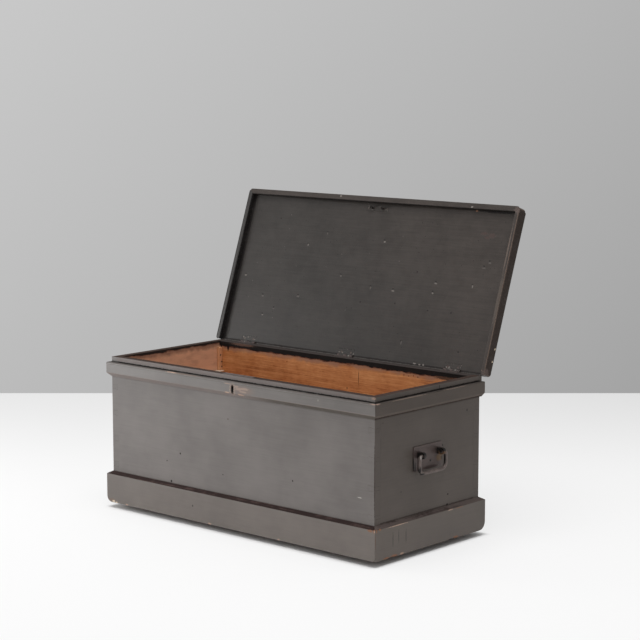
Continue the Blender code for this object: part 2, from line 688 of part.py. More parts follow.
def build_lock(front_board, band, iron, steel):
    plate_half = LOCK_PLATE_LENGTH / 2
    plate_low = WALL_TOP - LOCK_PLATE_HEIGHT
    flange_low = WALL_TOP - LOCK_PLATE_THICKNESS
    cap_half = CAP_LENGTH / 2
    cap_top = flange_low - GAP
    cap_low = cap_top - CAP_HEIGHT
    cap_back = LOCK_PLATE_FRONT - GAP

    # Plate with its flange over the top edge of the front board
    angle = [
        (-INNER_Y, plate_low),
        (-INNER_Y, WALL_TOP),
        (LOCK_FRONT, WALL_TOP),
        (LOCK_FRONT, flange_low),
        (LOCK_PLATE_FRONT, flange_low),
        (LOCK_PLATE_FRONT, plate_low),
    ]
    bm = bmesh.new()
    prism(bm, angle, -plate_half, plate_half, along_x)
    plate = add("lock_plate", bm, iron)
    sunk = LOCK_PLATE_FRONT + LOCK_PLATE_THICKNESS / 2
    key_pin = bmesh.new()
    pin_tip = (0, LOCK_FRONT + CAP_WALL, KEY_PIN_Z)
    rod(key_pin, (0, sunk, KEY_PIN_Z), pin_tip, KEY_PIN_RADIUS, SCREW_SIDES)
    combine(plate, cutter("key_pin", key_pin), "UNION")
    bar_low = KEY_PIN_Z + KEYHOLE_RADIUS + KEY_CLEARANCE
    stud_z = bar_low + BOLT_BAR_HEIGHT / 2
    stud_tip = BOLT_Y - BOLT_THICKNESS
    studs = bmesh.new()
    for side in (-1, 1):
        x = side * STUD_SPREAD / 2
        rod(studs, (x, sunk, stud_z), (x, stud_tip, stud_z), STUD_RADIUS, SCREW_SIDES)
    combine(plate, cutter("lock_studs", studs), "UNION")

    # Slots in the flange for the link plate's staples
    slots = bmesh.new()
    slot_y = STAPLE_WIDTH / 2 + STAPLE_CLEARANCE
    slot_x = STAPLE_THICKNESS / 2 + STAPLE_CLEARANCE
    for side in (-1, 1):
        x = side * STAPLE_SPREAD / 2
        low = (x - slot_x, BOLT_Y - slot_y, flange_low - OVERSHOOT)
        high_y = min(BOLT_Y + slot_y, LOCK_PLATE_FRONT - GAP)
        box(slots, low, (x + slot_x, high_y, WALL_TOP + OVERSHOOT))
    cut(cutter("staple_slots", slots), plate)

    # Cap, open behind and above
    bm = bmesh.new()
    box(bm, (-cap_half, LOCK_FRONT, cap_low), (cap_half, cap_back, cap_top))
    cap = add("lock_cap", bm, iron)
    hollow = bmesh.new()
    low = (-cap_half + CAP_WALL, LOCK_FRONT + CAP_WALL, cap_low + CAP_WALL)
    box(hollow, low, (cap_half - CAP_WALL, cap_back + OVERSHOOT, cap_top + OVERSHOOT))
    cut(cutter("lock_hollow", hollow), cap)

    # Bolt with two prongs that slide through the staples, and slots that ride on the studs
    middle = -BOLT_THROW / 2
    left = middle - BOLT_LENGTH / 2
    right = middle + BOLT_LENGTH / 2
    bar_top = bar_low + BOLT_BAR_HEIGHT
    prong_low = EYE_Z - PRONG_HEIGHT / 2
    prong_top = EYE_Z + PRONG_HEIGHT / 2
    outline = [(right, bar_low), (right, bar_top)]
    for side in (1, -1):
        tip = side * STAPLE_SPREAD / 2 - slot_x
        post = tip - BOLT_THROW - STAPLE_CLEARANCE
        outline += [(post, bar_top), (post, prong_low), (tip, prong_low), (tip, prong_top)]
        outline += [(post - POST_WIDTH, prong_top), (post - POST_WIDTH, bar_top)]
    talon = (middle - TALON_WIDTH / 2, middle + TALON_WIDTH / 2)
    outline += [(left, bar_top), (left, bar_low), (talon[0], bar_low)]
    outline += [(talon[0], bar_low + TALON_DEPTH), (talon[1], bar_low + TALON_DEPTH)]
    outline.append((talon[1], bar_low))
    bm = bmesh.new()
    prism(bm, outline, BOLT_Y - BOLT_THICKNESS / 2, BOLT_Y + BOLT_THICKNESS / 2, along_y)
    bolt = add("lock_bolt", bm, steel)
    tracks = bmesh.new()
    for side in (-1, 1):
        x = side * STUD_SPREAD / 2
        reach = STUD_RADIUS + GAP
        low = (x - reach - BOLT_THROW, BOLT_Y - BOLT_THICKNESS, stud_z - reach)
        box(tracks, low, (x + reach, BOLT_Y + BOLT_THICKNESS, stud_z + reach))
    cut(cutter("bolt_tracks", tracks), bolt)

    # Mortises in the front board, and the keyhole through wood and cap
    recess = bmesh.new()
    stepped = [
        (-INNER_Y + OVERSHOOT, plate_low - GAP),
        (-INNER_Y + OVERSHOOT, WALL_TOP + OVERSHOOT),
        (LOCK_FRONT - GAP, WALL_TOP + OVERSHOOT),
        (LOCK_FRONT - GAP, flange_low - GAP),
        (LOCK_PLATE_FRONT - GAP, flange_low - GAP),
        (LOCK_PLATE_FRONT - GAP, plate_low - GAP),
    ]
    prism(recess, stepped, -plate_half - GAP, plate_half + GAP, along_x)
    cut(cutter("lock_recess", recess), front_board)
    mortise = bmesh.new()
    low = (-cap_half - GAP, LOCK_FRONT - GAP, cap_low - GAP)
    box(mortise, low, (cap_half + GAP, -INNER_Y + OVERSHOOT, WALL_TOP + OVERSHOOT))
    cut(cutter("lock_mortise", mortise), front_board)
    keyhole = bmesh.new()
    mouth = -HALF_DEPTH - BAND_OUT - OVERSHOOT
    prism(keyhole, keyhole_outline(), mouth, LOCK_FRONT + CAP_WALL + GAP, along_y)
    cut(cutter("keyhole", keyhole), front_board, band, cap)


def build_link_plate(panel, lid, iron):
    """Plate in the lid's underside with two staples that drop into the lock."""
    half = LINK_LENGTH / 2
    reach = LINK_WIDTH / 2
    bm = bmesh.new()
    box(bm, (-half, BOLT_Y - reach, UNDERSIDE), (half, BOLT_Y + reach, UNDERSIDE + LINK_THICKNESS))
    plate = add("link_plate", bm, iron, lid)
    staples = bmesh.new()
    eyes = bmesh.new()
    for side in (-1, 1):
        x = side * STAPLE_SPREAD / 2
        thick = STAPLE_THICKNESS / 2
        back = min(BOLT_Y + STAPLE_WIDTH / 2, LOCK_PLATE_FRONT - GAP - STAPLE_CLEARANCE)
        low = (x - thick, BOLT_Y - STAPLE_WIDTH / 2, UNDERSIDE - STAPLE_DROP)
        box(staples, low, (x + thick, back, UNDERSIDE + LINK_THICKNESS / 2))
        wide = BOLT_THICKNESS / 2 + STAPLE_CLEARANCE
        tall = PRONG_HEIGHT / 2 + STAPLE_CLEARANCE
        low = (x - STAPLE_THICKNESS, BOLT_Y - wide, EYE_Z - tall)
        box(eyes, low, (x + STAPLE_THICKNESS, BOLT_Y + wide, EYE_Z + tall))
    combine(plate, cutter("staples", staples, lid), "UNION")
    cut(cutter("staple_eyes", eyes, lid), plate)
    pocket = bmesh.new()
    low = (-half - GAP, BOLT_Y - reach - GAP, UNDERSIDE - OVERSHOOT)
    box(pocket, low, (half + GAP, BOLT_Y + reach + GAP, UNDERSIDE + LINK_THICKNESS + GAP))
    cut(cutter("link_pocket", pocket, lid), panel)


def rounded_rectangle(half_a, half_b, radius):
    outline = []
    for i, (a, b) in enumerate(((1, 1), (-1, 1), (-1, -1), (1, -1))):
        centre = (a * (half_a - radius), b * (half_b - radius))
        outline += arc(centre, radius, 90 * i, 90 * i + 90, 2)
    return outline


def bail_half():
    """Half of the bail's centre line, from its head inside the eye to the grip, as (y, z, radius)."""
    leg = BAIL_SPREAD / 2
    eye = EYE_SPREAD / 2
    collar = eye - EYE_THICKNESS / 2 - 2 * GAP
    line = [(collar - BAIL_HEAD_LENGTH, 0, BAIL_HEAD_RADIUS), (collar - GAP, 0, BAIL_HEAD_RADIUS)]
    line.append((collar, 0, BAIL_END_RADIUS))
    shoulder = arc((leg - BAIL_SHOULDER, -BAIL_SHOULDER), BAIL_SHOULDER, 90, 0, ARC_STEPS)
    swell = (BAIL_RADIUS - BAIL_END_RADIUS) / ARC_STEPS
    line += [(y, z, BAIL_END_RADIUS + i * swell) for i, (y, z) in enumerate(shoulder)]
    corner = arc((leg - BAIL_CORNER, BAIL_CORNER - BAIL_DROP), BAIL_CORNER, 0, -90, ARC_STEPS)
    return line + [(y, z, BAIL_RADIUS) for y, z in corner]


def build_bail(name, side, finish):
    half = bail_half()
    line = [(-y, z, radius) for y, z, radius in half] + half[::-1]
    data = bpy.data.curves.new(name, "CURVE")
    data.dimensions = "3D"
    data.bevel_depth = BAIL_RADIUS
    data.bevel_resolution = 3
    data.use_fill_caps = True
    spline = data.splines.new("POLY")
    spline.points.add(len(line) - 1)
    for point, (y, z, radius) in zip(spline.points, line):
        point.co = (0, y, z, 1)
        point.radius = radius / BAIL_RADIUS
    data.materials.append(finish)
    bail = bpy.data.objects.new(name, data)
    bail.location = (side * (HALF_LENGTH + HANDLE_STANDOFF), HANDLE_SHIFT, HANDLE_AXIS_Z)
    bpy.context.collection.objects.link(bail)


def build_handle(name, side, end_board, finish):
    """Backplate, two eyes with shanks through the end board, and the bail that hangs in them."""
    outline = rounded_rectangle(HANDLE_PLATE_LENGTH / 2, HANDLE_PLATE_HEIGHT / 2, HANDLE_PLATE_CORNER)
    outline = [(HANDLE_SHIFT + y, HANDLE_HEIGHT + z) for y, z in outline]
    bm = bmesh.new()
    prism(bm, outline, side * (HALF_LENGTH + GAP), side * PLATE_FACE, along_x)
    plate = add(f"handle_{name}_plate", bm, finish)
    axis_x = HALF_LENGTH + HANDLE_STANDOFF
    seat = PLATE_FACE + GAP
    ear = [(seat, HANDLE_AXIS_Z - EYE_RADIUS)]
    ear += arc((axis_x, HANDLE_AXIS_Z), EYE_RADIUS, -90, 90, 2 * ARC_STEPS)
    ear.append((seat, HANDLE_AXIS_Z + EYE_RADIUS))
    ear = [(side * x, z) for x, z in ear]
    holes = bmesh.new()
    for place, end in (("front", -1), ("back", 1)):
        y = HANDLE_SHIFT + end * EYE_SPREAD / 2
        faces = (y - EYE_THICKNESS / 2, y + EYE_THICKNESS / 2)
        bm = bmesh.new()
        prism(bm, ear, faces[0], faces[1], along_y)
        eye = add(f"handle_{name}_eye_{place}", bm, finish, smooth=True)
        tip = side * (INNER_X + GAP)
        root = side * (seat + HANDLE_PLATE_THICKNESS)
        shank = bmesh.new()
        rod(shank, (tip, y, HANDLE_AXIS_Z), (root, y, HANDLE_AXIS_Z), EYE_SHANK_RADIUS, SCREW_SIDES)
        combine(eye, cutter(f"shank_{eye.name}", shank), "UNION")
        pivot = bmesh.new()
        centre = Vector((side * axis_x, y, HANDLE_AXIS_Z))
        reach = Vector((0, EYE_THICKNESS, 0))
        rod(pivot, centre - reach, centre + reach, BAIL_END_RADIUS + PIVOT_CLEARANCE, EYE_SIDES)
        cut(cutter(f"pivot_{eye.name}", pivot), eye)
        start = (side * (INNER_X - OVERSHOOT), y, HANDLE_AXIS_Z)
        finish_point = (side * (seat + OVERSHOOT), y, HANDLE_AXIS_Z)
        rod(holes, start, finish_point, EYE_SHANK_RADIUS + GAP, SCREW_SIDES)
    cut(cutter(f"holes_handle_{name}", holes), plate, end_board)
    build_bail(f"handle_{name}_bail", side, finish)


def build_lid_axis():
    """Empty on the hinge axis. The lid's pieces are drawn shut and turned open by it."""
    lid = bpy.data.objects.new("lid_axis", None)
    lid.location = (0, AXIS_Y, AXIS_Z)
    lid.rotation_euler = (-LID_OPEN_ANGLE, 0, 0)
    bpy.context.collection.objects.link(lid)
    return lid


def main():
    clear_scene()
    paint = material("painted_pine", (0.105, 0.098, 0.092), 0.45)
    dark_paint = material("lid_paint", (0.065, 0.060, 0.056), 0.5)
    pine = material("bare_pine", (0.46, 0.22, 0.09), 0.6)
    iron = material("old_iron", (0.045, 0.036, 0.032), 0.55, 0.6)
    steel = material("worn_steel", (0.12, 0.10, 0.09), 0.5, 0.8)

    front_board = build_long_wall("front_board", -1, paint)
    back_board = build_long_wall("back_board", 1, paint)
    left_end = build_end_wall("left_end_board", -1, paint)
    right_end = build_end_wall("right_end_board", 1, paint)
    build_bottom(pine)
    build_runners(pine)
    build_plinth(paint)
    band, rail = build_band(paint)
    build_inside(pine)

    lid = build_lid_axis()
    panel = build_panel(dark_paint, lid)
    build_rims(dark_paint, lid)
    cut_hinge_gains(panel, rail, back_board, lid)
    build_hinges(panel, rail, lid, iron, steel)
    build_lock(front_board, band, iron, steel)
    build_link_plate(panel, lid, iron)
    build_handle("left", -1, left_end, iron)
    build_handle("right", 1, right_end, iron)


main()
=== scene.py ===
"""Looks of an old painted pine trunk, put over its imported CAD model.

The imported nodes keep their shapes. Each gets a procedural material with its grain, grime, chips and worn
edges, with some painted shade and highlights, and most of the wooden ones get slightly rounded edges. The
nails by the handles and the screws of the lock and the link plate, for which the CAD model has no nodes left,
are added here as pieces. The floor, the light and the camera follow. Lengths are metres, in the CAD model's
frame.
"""

import json
import math

import bpy
from mathutils import Matrix, Vector


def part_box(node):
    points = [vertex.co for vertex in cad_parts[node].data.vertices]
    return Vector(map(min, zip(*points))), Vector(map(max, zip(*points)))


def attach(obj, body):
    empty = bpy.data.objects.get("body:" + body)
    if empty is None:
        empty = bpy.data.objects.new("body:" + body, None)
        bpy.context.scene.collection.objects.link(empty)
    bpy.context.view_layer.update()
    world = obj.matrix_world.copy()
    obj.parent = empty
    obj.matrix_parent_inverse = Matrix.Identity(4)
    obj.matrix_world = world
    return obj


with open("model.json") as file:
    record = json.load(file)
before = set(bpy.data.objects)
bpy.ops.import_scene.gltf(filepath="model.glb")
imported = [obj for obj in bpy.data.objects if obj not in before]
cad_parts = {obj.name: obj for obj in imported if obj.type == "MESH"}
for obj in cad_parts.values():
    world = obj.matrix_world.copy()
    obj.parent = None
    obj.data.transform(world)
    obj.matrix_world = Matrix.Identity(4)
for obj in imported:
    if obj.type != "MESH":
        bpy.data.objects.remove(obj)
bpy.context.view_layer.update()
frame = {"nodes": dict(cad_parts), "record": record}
nodes = frame["nodes"]
joints = {joint["name"]: joint for joint in frame["record"]["behaviour"]["joints"]}
LID_AXIS = Vector(joints["lid_hinge"]["pos_m"])
LID_OPEN = math.radians(joints["lid_hinge"]["range_deg"][1])
X, Y, Z = range(3)
ENDS = (("left", -1), ("right", 1))


def shut_box(name):
    """A lid node's box as if the lid were shut."""
    turn = Matrix.Rotation(LID_OPEN, 3, "X")
    corners = [turn @ (Vector(vertex.co) - LID_AXIS) + LID_AXIS for vertex in nodes[name].data.vertices]
    low = [min(corner[axis] for corner in corners) for axis in range(3)]
    high = [max(corner[axis] for corner in corners) for axis in range(3)]
    return low, high


def on_face(axis, place, depth, rows):
    """Marks of one depth on a face across an axis, from places and half sizes along the other two."""
    marks = []
    for first, second, half_first, half_second, colour in rows:
        centre = [first, second]
        centre.insert(axis, place)
        half_sizes = [half_first, half_second]
        half_sizes.insert(axis, depth)
        marks.append((centre, half_sizes, colour))
    return tuple(marks)


# Sizes of the CAD model that the materials follow
_, (HALF_LENGTH, HALF_DEPTH, WALL_TOP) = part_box("right_end_board")
_, INNER_Y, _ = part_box("back_board")[0]
INNER_X = HALF_LENGTH - (HALF_DEPTH - INNER_Y)
_, _, PLINTH_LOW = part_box("plinth_right")[0]
PLINTH_X, _, PLINTH_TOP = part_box("plinth_right")[1]
PLINTH_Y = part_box("plinth_back")[1][Y]
PLINTH_ARRIS = PLINTH_TOP - 0.007
_, _, BAND_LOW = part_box("band_right")[0]
BAND_X, _, BAND_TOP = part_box("band_right")[1]
BAND_Y = -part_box("band_front")[0][Y]
BAND_LOW_ARRIS = BAND_LOW + 0.0105
KEYHOLE_Z = 0.3664
PLATE_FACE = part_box("handle_right_plate")[1][X]
RIM_INNER_X, _, RIM_LOW = shut_box("lid_rim_right")[0]
RIM_OUTER_X = RIM_INNER_X + 0.012
LID_UNDERSIDE = shut_box("lid_panel")[0][Z]

# Colours, linear
FRONT_PAINT = (0.163, 0.148, 0.14)
# Darker than the front's: painted shade on the ends
END_PAINT_SHADED = (0.095, 0.079, 0.069)
PLINTH_FRONT_PAINT = (0.143, 0.123, 0.11)
# Darker than the front's: painted shade on the ends
PLINTH_END_PAINT_SHADED = (0.112, 0.093, 0.08)
BAND_FRONT_PAINT = (0.128, 0.115, 0.107)
# Darker than the front's: painted shade on the ends
BAND_END_PAINT_SHADED = (0.081, 0.065, 0.055)
# The lid's left tint is more neutral than the right: the hue of a painted sheen
LID_LEFT_PAINT_AND_SHEEN = (0.034, 0.03, 0.0272)
LID_RIGHT_PAINT = (0.048, 0.039, 0.034)
RIM_FRONT_PAINT = (0.048, 0.039, 0.034)
RIM_LEFT_PAINT = (0.046, 0.043, 0.041)
RIM_RIGHT_PAINT = (0.049, 0.039, 0.034)
RIM_OUTER_PAINT = (0.033, 0.022, 0.017)
RIM_ARRIS = (0.15, 0.1, 0.075)
RIM_TAN = (0.12, 0.091, 0.076)
RIM_PALE = (0.085, 0.068, 0.057)
RIM_WORN = (0.1, 0.075, 0.066)
GRIME = (0.04, 0.034, 0.031)
LIP_PINK = (0.2, 0.158, 0.146)
LIP_TOP = (0.05, 0.031, 0.024)
LIP_TOP_DARK = (0.02, 0.013, 0.011)
BACK_TOP = (0.046, 0.037, 0.034)
BACK_TOP_DARK = (0.028, 0.022, 0.02)
BAND_TOP_FRONT = (0.11, 0.096, 0.088)
BAND_TOP_FRONT_DARK = (0.07, 0.058, 0.052)
BAND_TOP_END = (0.056, 0.046, 0.041)
BAND_TOP_END_DARK = (0.03, 0.024, 0.021)
# Brown dirt, also painted shade under the band and in the creases above the plinth
BROWN_GRIME_AND_SHADE = (0.024, 0.014, 0.011)
# Black dirt and paint, also painted shade in creases, in the keyhole and other holes, and by the lid's rims
BLACK_GRIME_AND_SHADE = (0.008, 0.006, 0.0055)
SLOPE_DARK = (0.022, 0.011, 0.0095)
SLOPE_BROWN = (0.07, 0.042, 0.037)
SLOPE_END = (0.094, 0.072, 0.065)
SLOPE_END_DARK = (0.034, 0.022, 0.019)
CHAMFER_PALE = (0.178, 0.148, 0.137)
CHAMFER_ARRIS = (0.24, 0.19, 0.165)
CHAMFER_DARK = (0.084, 0.07, 0.059)
CHAMFER_END = (0.12, 0.098, 0.084)
CORNER_DARK_LINE = (0.055, 0.04, 0.034)
WORN_EDGE = (0.14, 0.086, 0.062)
KEYHOLE_PALE = (0.29, 0.218, 0.18)
KEYHOLE_WASH = (0.188, 0.147, 0.128)
RUBBED_PAINT = (0.16, 0.12, 0.098)
WORN_WOOD = (0.23, 0.115, 0.068)
PALE_WOOD = (0.4, 0.275, 0.21)
CORNER_WOOD = (0.29, 0.205, 0.165)
CREAM_CHIP = (0.6, 0.49, 0.37)
PALE_FLECK = (0.23, 0.205, 0.185)
SCRATCH = (0.42, 0.39, 0.365)
# Pale flecks and chips of the lid, also a painted highlight along its back edge
LID_FLECK_AND_HIGHLIGHT = (0.15, 0.135, 0.122)
LID_SCUFF = (0.092, 0.083, 0.075)
# Painted shade at the edges of the lid's chips and scuffs, also the colour of dark flecks
LID_SHADE_AND_DARK_FLECK = (0.02, 0.017, 0.015)
LID_PINK = (0.06, 0.042, 0.037)
# Dark dents and cracks, also painted shade in the gap along the lid's back edge
DARK_DENT_AND_SHADE = (0.016, 0.012, 0.011)
PINE_DARK = (0.3, 0.1, 0.034)
PINE_MID = (0.515, 0.212, 0.076)
PINE_LIGHT = (0.66, 0.325, 0.13)
PINE_MARGIN = (0.3, 0.168, 0.112)
# Paler pine of the ends' insides: partly painted light
PINE_PALE_AND_LIT = (0.92, 0.56, 0.38)
PINE_MOTTLE = (0.4, 0.205, 0.135)
PINE_BROWN = (0.116, 0.073, 0.057)
PINE_DEEP = (0.091, 0.05, 0.032)
PINE_TAN = (0.7, 0.39, 0.215)
RED_RUN = (0.105, 0.036, 0.022)
IRON_DARK = (0.012, 0.01, 0.009)
IRON_BROWN = (0.165, 0.128, 0.116)
# Painted highlight on the bail
IRON_HIGHLIGHT = (0.3, 0.27, 0.25)
IRON_RED = (0.034, 0.016, 0.012)
IRON_PINK = (0.096, 0.07, 0.064)
IRON_RUBBED = (0.13, 0.096, 0.086)
RUST = (0.15, 0.082, 0.042)
RUST_STAIN = (0.138, 0.08, 0.038)
RUST_DARK = (0.05, 0.026, 0.011)
STEEL_DULL = (0.11, 0.095, 0.085)

# Worn places, marks and some painted shade seen in the photo: each one's middle, half sizes and colour
FRONT_MARKS = on_face(Y, -HALF_DEPTH, 0.004, (
    (-0.1954, 0.1768, 0.003, 0.003, DARK_DENT_AND_SHADE),
    (0.1903, 0.1642, 0.0026, 0.003, DARK_DENT_AND_SHADE),
    (-0.2294, 0.1005, 0.0036, 0.004, DARK_DENT_AND_SHADE),
    (-0.2447, 0.1516, 0.0022, 0.0026, GRIME),
    (-0.0444, 0.1448, 0.0022, 0.0026, GRIME),
    (-0.0256, 0.2878, 0.0036, 0.002, END_PAINT_SHADED),
    (0.4014, 0.1567, 0.008, 0.0015, SCRATCH),
))
NEAR_CORNER_MARKS = (
    ((0.443, -0.1975, 0.396), (0.0085, 0.0045, 0.004), CORNER_WOOD),
    # A dark line down the near corner
    ((HALF_LENGTH, -HALF_DEPTH, 0.2), (0.0018, 0.0018, 0.11), CORNER_DARK_LINE),
)
KEYHOLE_MARKS = (
    ((0.0, -BAND_Y, KEYHOLE_Z), (0.0115, 0.03, 0.019), KEYHOLE_PALE),
    # A black oval over the keyhole: painted shade in the hole
    ((0.0, -BAND_Y, KEYHOLE_Z), (0.0066, 0.03, 0.0145), BLACK_GRIME_AND_SHADE),
)
RIGHT_MARKS = on_face(X, HALF_LENGTH, 0.004, (
    (0.0763, 0.1242, 0.0034, 0.0024, DARK_DENT_AND_SHADE),
    (0.0739, 0.099, 0.004, 0.0034, DARK_DENT_AND_SHADE),
    (-0.1024, 0.1604, 0.002, 0.0024, GRIME),
    (-0.1697, 0.3354, 0.0016, 0.002, GRIME),
    (0.1497, 0.3207, 0.0034, 0.004, GRIME),
    (0.04, 0.393, 0.0012, 0.006, BLACK_GRIME_AND_SHADE),
))
BACK_MARKS = on_face(Y, INNER_Y, 0.004, (
    (0.0745, 0.353, 0.001, 0.026, DARK_DENT_AND_SHADE),
    (0.0352, 0.3224, 0.0018, 0.0034, BLACK_GRIME_AND_SHADE),
    (-0.1761, 0.369, 0.003, 0.0024, PINE_DARK),
    (-0.224, 0.352, 0.0024, 0.002, PINE_DARK),
    (-0.048, 0.356, 0.0022, 0.0018, PINE_DARK),
    (0.225, 0.379, 0.0016, 0.0034, RED_RUN),
    (0.24, 0.377, 0.002, 0.002, RED_RUN),
    (0.256, 0.38, 0.0014, 0.003, RED_RUN),
    (0.27, 0.3775, 0.0022, 0.0022, RED_RUN),
    (-0.34, 0.3965, 0.052, 0.0046, PINE_BROWN),
    (0.36, 0.3845, 0.045, 0.005, PINE_DEEP),
    (-0.395, 0.384, 0.005, 0.011, BLACK_GRIME_AND_SHADE),
    (-0.421, 0.386, 0.004, 0.009, BLACK_GRIME_AND_SHADE),
))
BAND_FRONT_MARKS = on_face(Y, -BAND_Y, 0.006, (
    (0.032, 0.368, 0.048, 0.013, KEYHOLE_WASH),
    (0.022, 0.3695, 0.015, 0.004, KEYHOLE_PALE),
    (0.04, 0.3715, 0.017, 0.004, KEYHOLE_PALE),
    (0.013, 0.375, 0.012, 0.003, KEYHOLE_PALE),
    (0.036, 0.364, 0.014, 0.003, KEYHOLE_PALE),
    (-0.016, 0.3792, 0.016, 0.0018, KEYHOLE_PALE),
)) + (
    ((-0.0178, -BAND_Y, 0.357), (0.01, 0.01, 0.0026), PALE_WOOD),
    ((0.029, -BAND_Y, 0.3556), (0.013, 0.01, 0.0026), PALE_WOOD),
    ((-0.175, -0.209, 0.3846), (0.08, 0.005, 0.0016), RUBBED_PAINT),
    ((-0.215, -0.209, 0.3846), (0.022, 0.005, 0.0016), PALE_WOOD),
    ((0.2818, -BAND_Y, 0.3735), (0.003, 0.005, 0.003), PALE_FLECK),
    ((0.451, -0.209, 0.385), (0.011, 0.005, 0.0022), CORNER_WOOD),
)
BAND_RIGHT_MARKS = (
    ((BAND_X, -0.201, 0.3854), (0.005, 0.011, 0.0026), CORNER_WOOD),
    ((BAND_X, -0.09, 0.3846), (0.004, 0.09, 0.0012), RUBBED_PAINT),
    ((BAND_X, 0.09, 0.3846), (0.004, 0.06, 0.0009), RUBBED_PAINT),
)
PLINTH_FRONT_MARKS = on_face(Y, -PLINTH_Y, 0.006, (
    (-0.44, 0.0195, 0.017, 0.006, RUBBED_PAINT),
    (-0.4348, 0.0175, 0.006, 0.0034, CREAM_CHIP),
    (-0.424, 0.0155, 0.005, 0.0026, CREAM_CHIP),
    (-0.384, 0.016, 0.005, 0.0026, PALE_WOOD),
    (-0.0799, 0.016, 0.006, 0.003, PALE_WOOD),
    (0.155, 0.016, 0.004, 0.0026, PALE_WOOD),
)) + (
    ((-0.14, -PLINTH_Y, 0.0523), (0.003, 0.004, 0.0036), GRIME),
    ((0.445, -0.2105, 0.0865), (0.011, 0.006, 0.0036), WORN_WOOD),
    ((0.4575, -0.2105, 0.0868), (0.0052, 0.006, 0.0058), WORN_WOOD),
    ((0.4588, -0.2105, 0.0862), (0.003, 0.004, 0.004), PALE_WOOD),
)
PLINTH_RIGHT_MARKS = on_face(X, 0.459, 0.005, (
    (-0.128, 0.0876, 0.044, 0.0016, PALE_WOOD),
    (0.072, 0.0878, 0.013, 0.0018, PALE_WOOD),
    (0.106, 0.0876, 0.02, 0.0012, WORN_WOOD),
)) + on_face(X, 0.459, 0.006, (
    (-0.206, 0.0868, 0.0036, 0.005, WORN_WOOD),
    (-0.193, 0.088, 0.005, 0.003, WORN_WOOD),
)) + on_face(X, PLINTH_X, 0.006, (
    (-0.17, 0.0158, 0.012, 0.0034, WORN_WOOD),
    (-0.143, 0.0165, 0.015, 0.0044, WORN_WOOD),
    (-0.113, 0.0165, 0.008, 0.0036, PALE_WOOD),
    (-0.152, 0.0143, 0.012, 0.0018, BLACK_GRIME_AND_SHADE),
    (0.094, 0.0165, 0.012, 0.0038, WORN_WOOD),
    (0.076, 0.0145, 0.014, 0.0022, BLACK_GRIME_AND_SHADE),
)) + on_face(X, PLINTH_X, 0.004, (
    (-0.1462, 0.056, 0.0013, 0.023, GRIME),
    (-0.125, 0.06, 0.0011, 0.019, GRIME),
    (-0.0981, 0.056, 0.0013, 0.021, GRIME),
)) + (
    ((PLINTH_X, -PLINTH_Y, 0.062), (0.0026, 0.0026, 0.024), WORN_EDGE),
)
PANEL_MARKS = (
    ((0.39, -0.1985, LID_UNDERSIDE), (0.075, 0.0042, 0.01), BLACK_GRIME_AND_SHADE),
    ((0.3223, -0.1974, LID_UNDERSIDE), (0.004, 0.003, 0.004), WORN_WOOD),
) + on_face(Z, LID_UNDERSIDE, 0.006, (
    (0.361, -0.141, 0.015, 0.0062, LID_PINK),
    (0.385, -0.137, 0.014, 0.008, LID_PINK),
    (0.372, -0.131, 0.011, 0.005, LID_PINK),
)) + on_face(Z, LID_UNDERSIDE, 0.004, (
    (0.229, 0.208, 0.006, 0.002, PALE_FLECK),
    (0.246, 0.2095, 0.0034, 0.0024, PALE_FLECK),
    (0.258, 0.2085, 0.003, 0.0026, PALE_FLECK),
))
RIM_CORNER_MARK = ((0.455, -0.204, RIM_LOW), (0.012, 0.01, 0.006), RIM_WORN)
RIM_FRONT_MARKS = (
    RIM_CORNER_MARK,
    ((0.3141, -0.2038, RIM_LOW), (0.004, 0.0026, 0.004), PALE_FLECK),
    ((-0.1254, -0.2094, RIM_LOW), (0.004, 0.0026, 0.004), PALE_FLECK),
)
RIM_RIGHT_MARKS = (
    RIM_CORNER_MARK,
    ((RIM_OUTER_X, 0.1454, 0.4071), (0.004, 0.003, 0.0026), CREAM_CHIP),
    ((RIM_OUTER_X, 0.1766, 0.4068), (0.004, 0.003, 0.0026), CREAM_CHIP),
    ((RIM_OUTER_X, 0.208, 0.393), (0.02, 0.012, 0.01), RIM_WORN),
    ((0.451, -0.105, RIM_LOW), (0.0026, 0.07, 0.005), RIM_TAN),
    ((0.454, 0.03, RIM_LOW), (0.006, 0.075, 0.005), RIM_PALE),
    ((RIM_OUTER_X, 0.019, 0.406), (0.004, 0.003, 0.0024), RIM_WORN),
)

# Chips, fainter scuffs and dents on the lid's underside, x and y on the shut lid
LID_CHIPS = (
    (-0.2142, -0.0714), (0.0471, -0.0979), (0.2421, -0.002), (0.2392, 0.024),
    (0.3585, -0.0033), (0.1096, 0.0287), (-0.3229, 0.1331), (-0.4166, 0.0286),
)
LID_SCUFFS = (
    (-0.1548, -0.1072), (0.3959, -0.0673), (0.3818, -0.053), (-0.0758, 0.0039),
    (0.0332, 0.027), (-0.2094, 0.0714), (-0.2872, 0.1126), (-0.3371, 0.081),
    (0.1727, 0.1599),
)
LID_DENTS = (
    (0.1755, -0.0272), (0.0095, 0.067), (0.3577, 0.1647), (-0.3336, -0.1389),
    (0.2349, 0.0697), (0.31, 0.0691), (0.1253, 0.061),
)
LID_MARK_DEPTH = 0.003
LID_DENT_HALF = (0.003, 0.0024, LID_MARK_DEPTH)

# The painted shade at the edge before each chip and scuff: its offset along x and y, and its half sizes
LID_SHADE_OFFSET = (-0.001, -0.0048)
LID_SHADE_HALF = (0.004, 0.0024, LID_MARK_DEPTH)

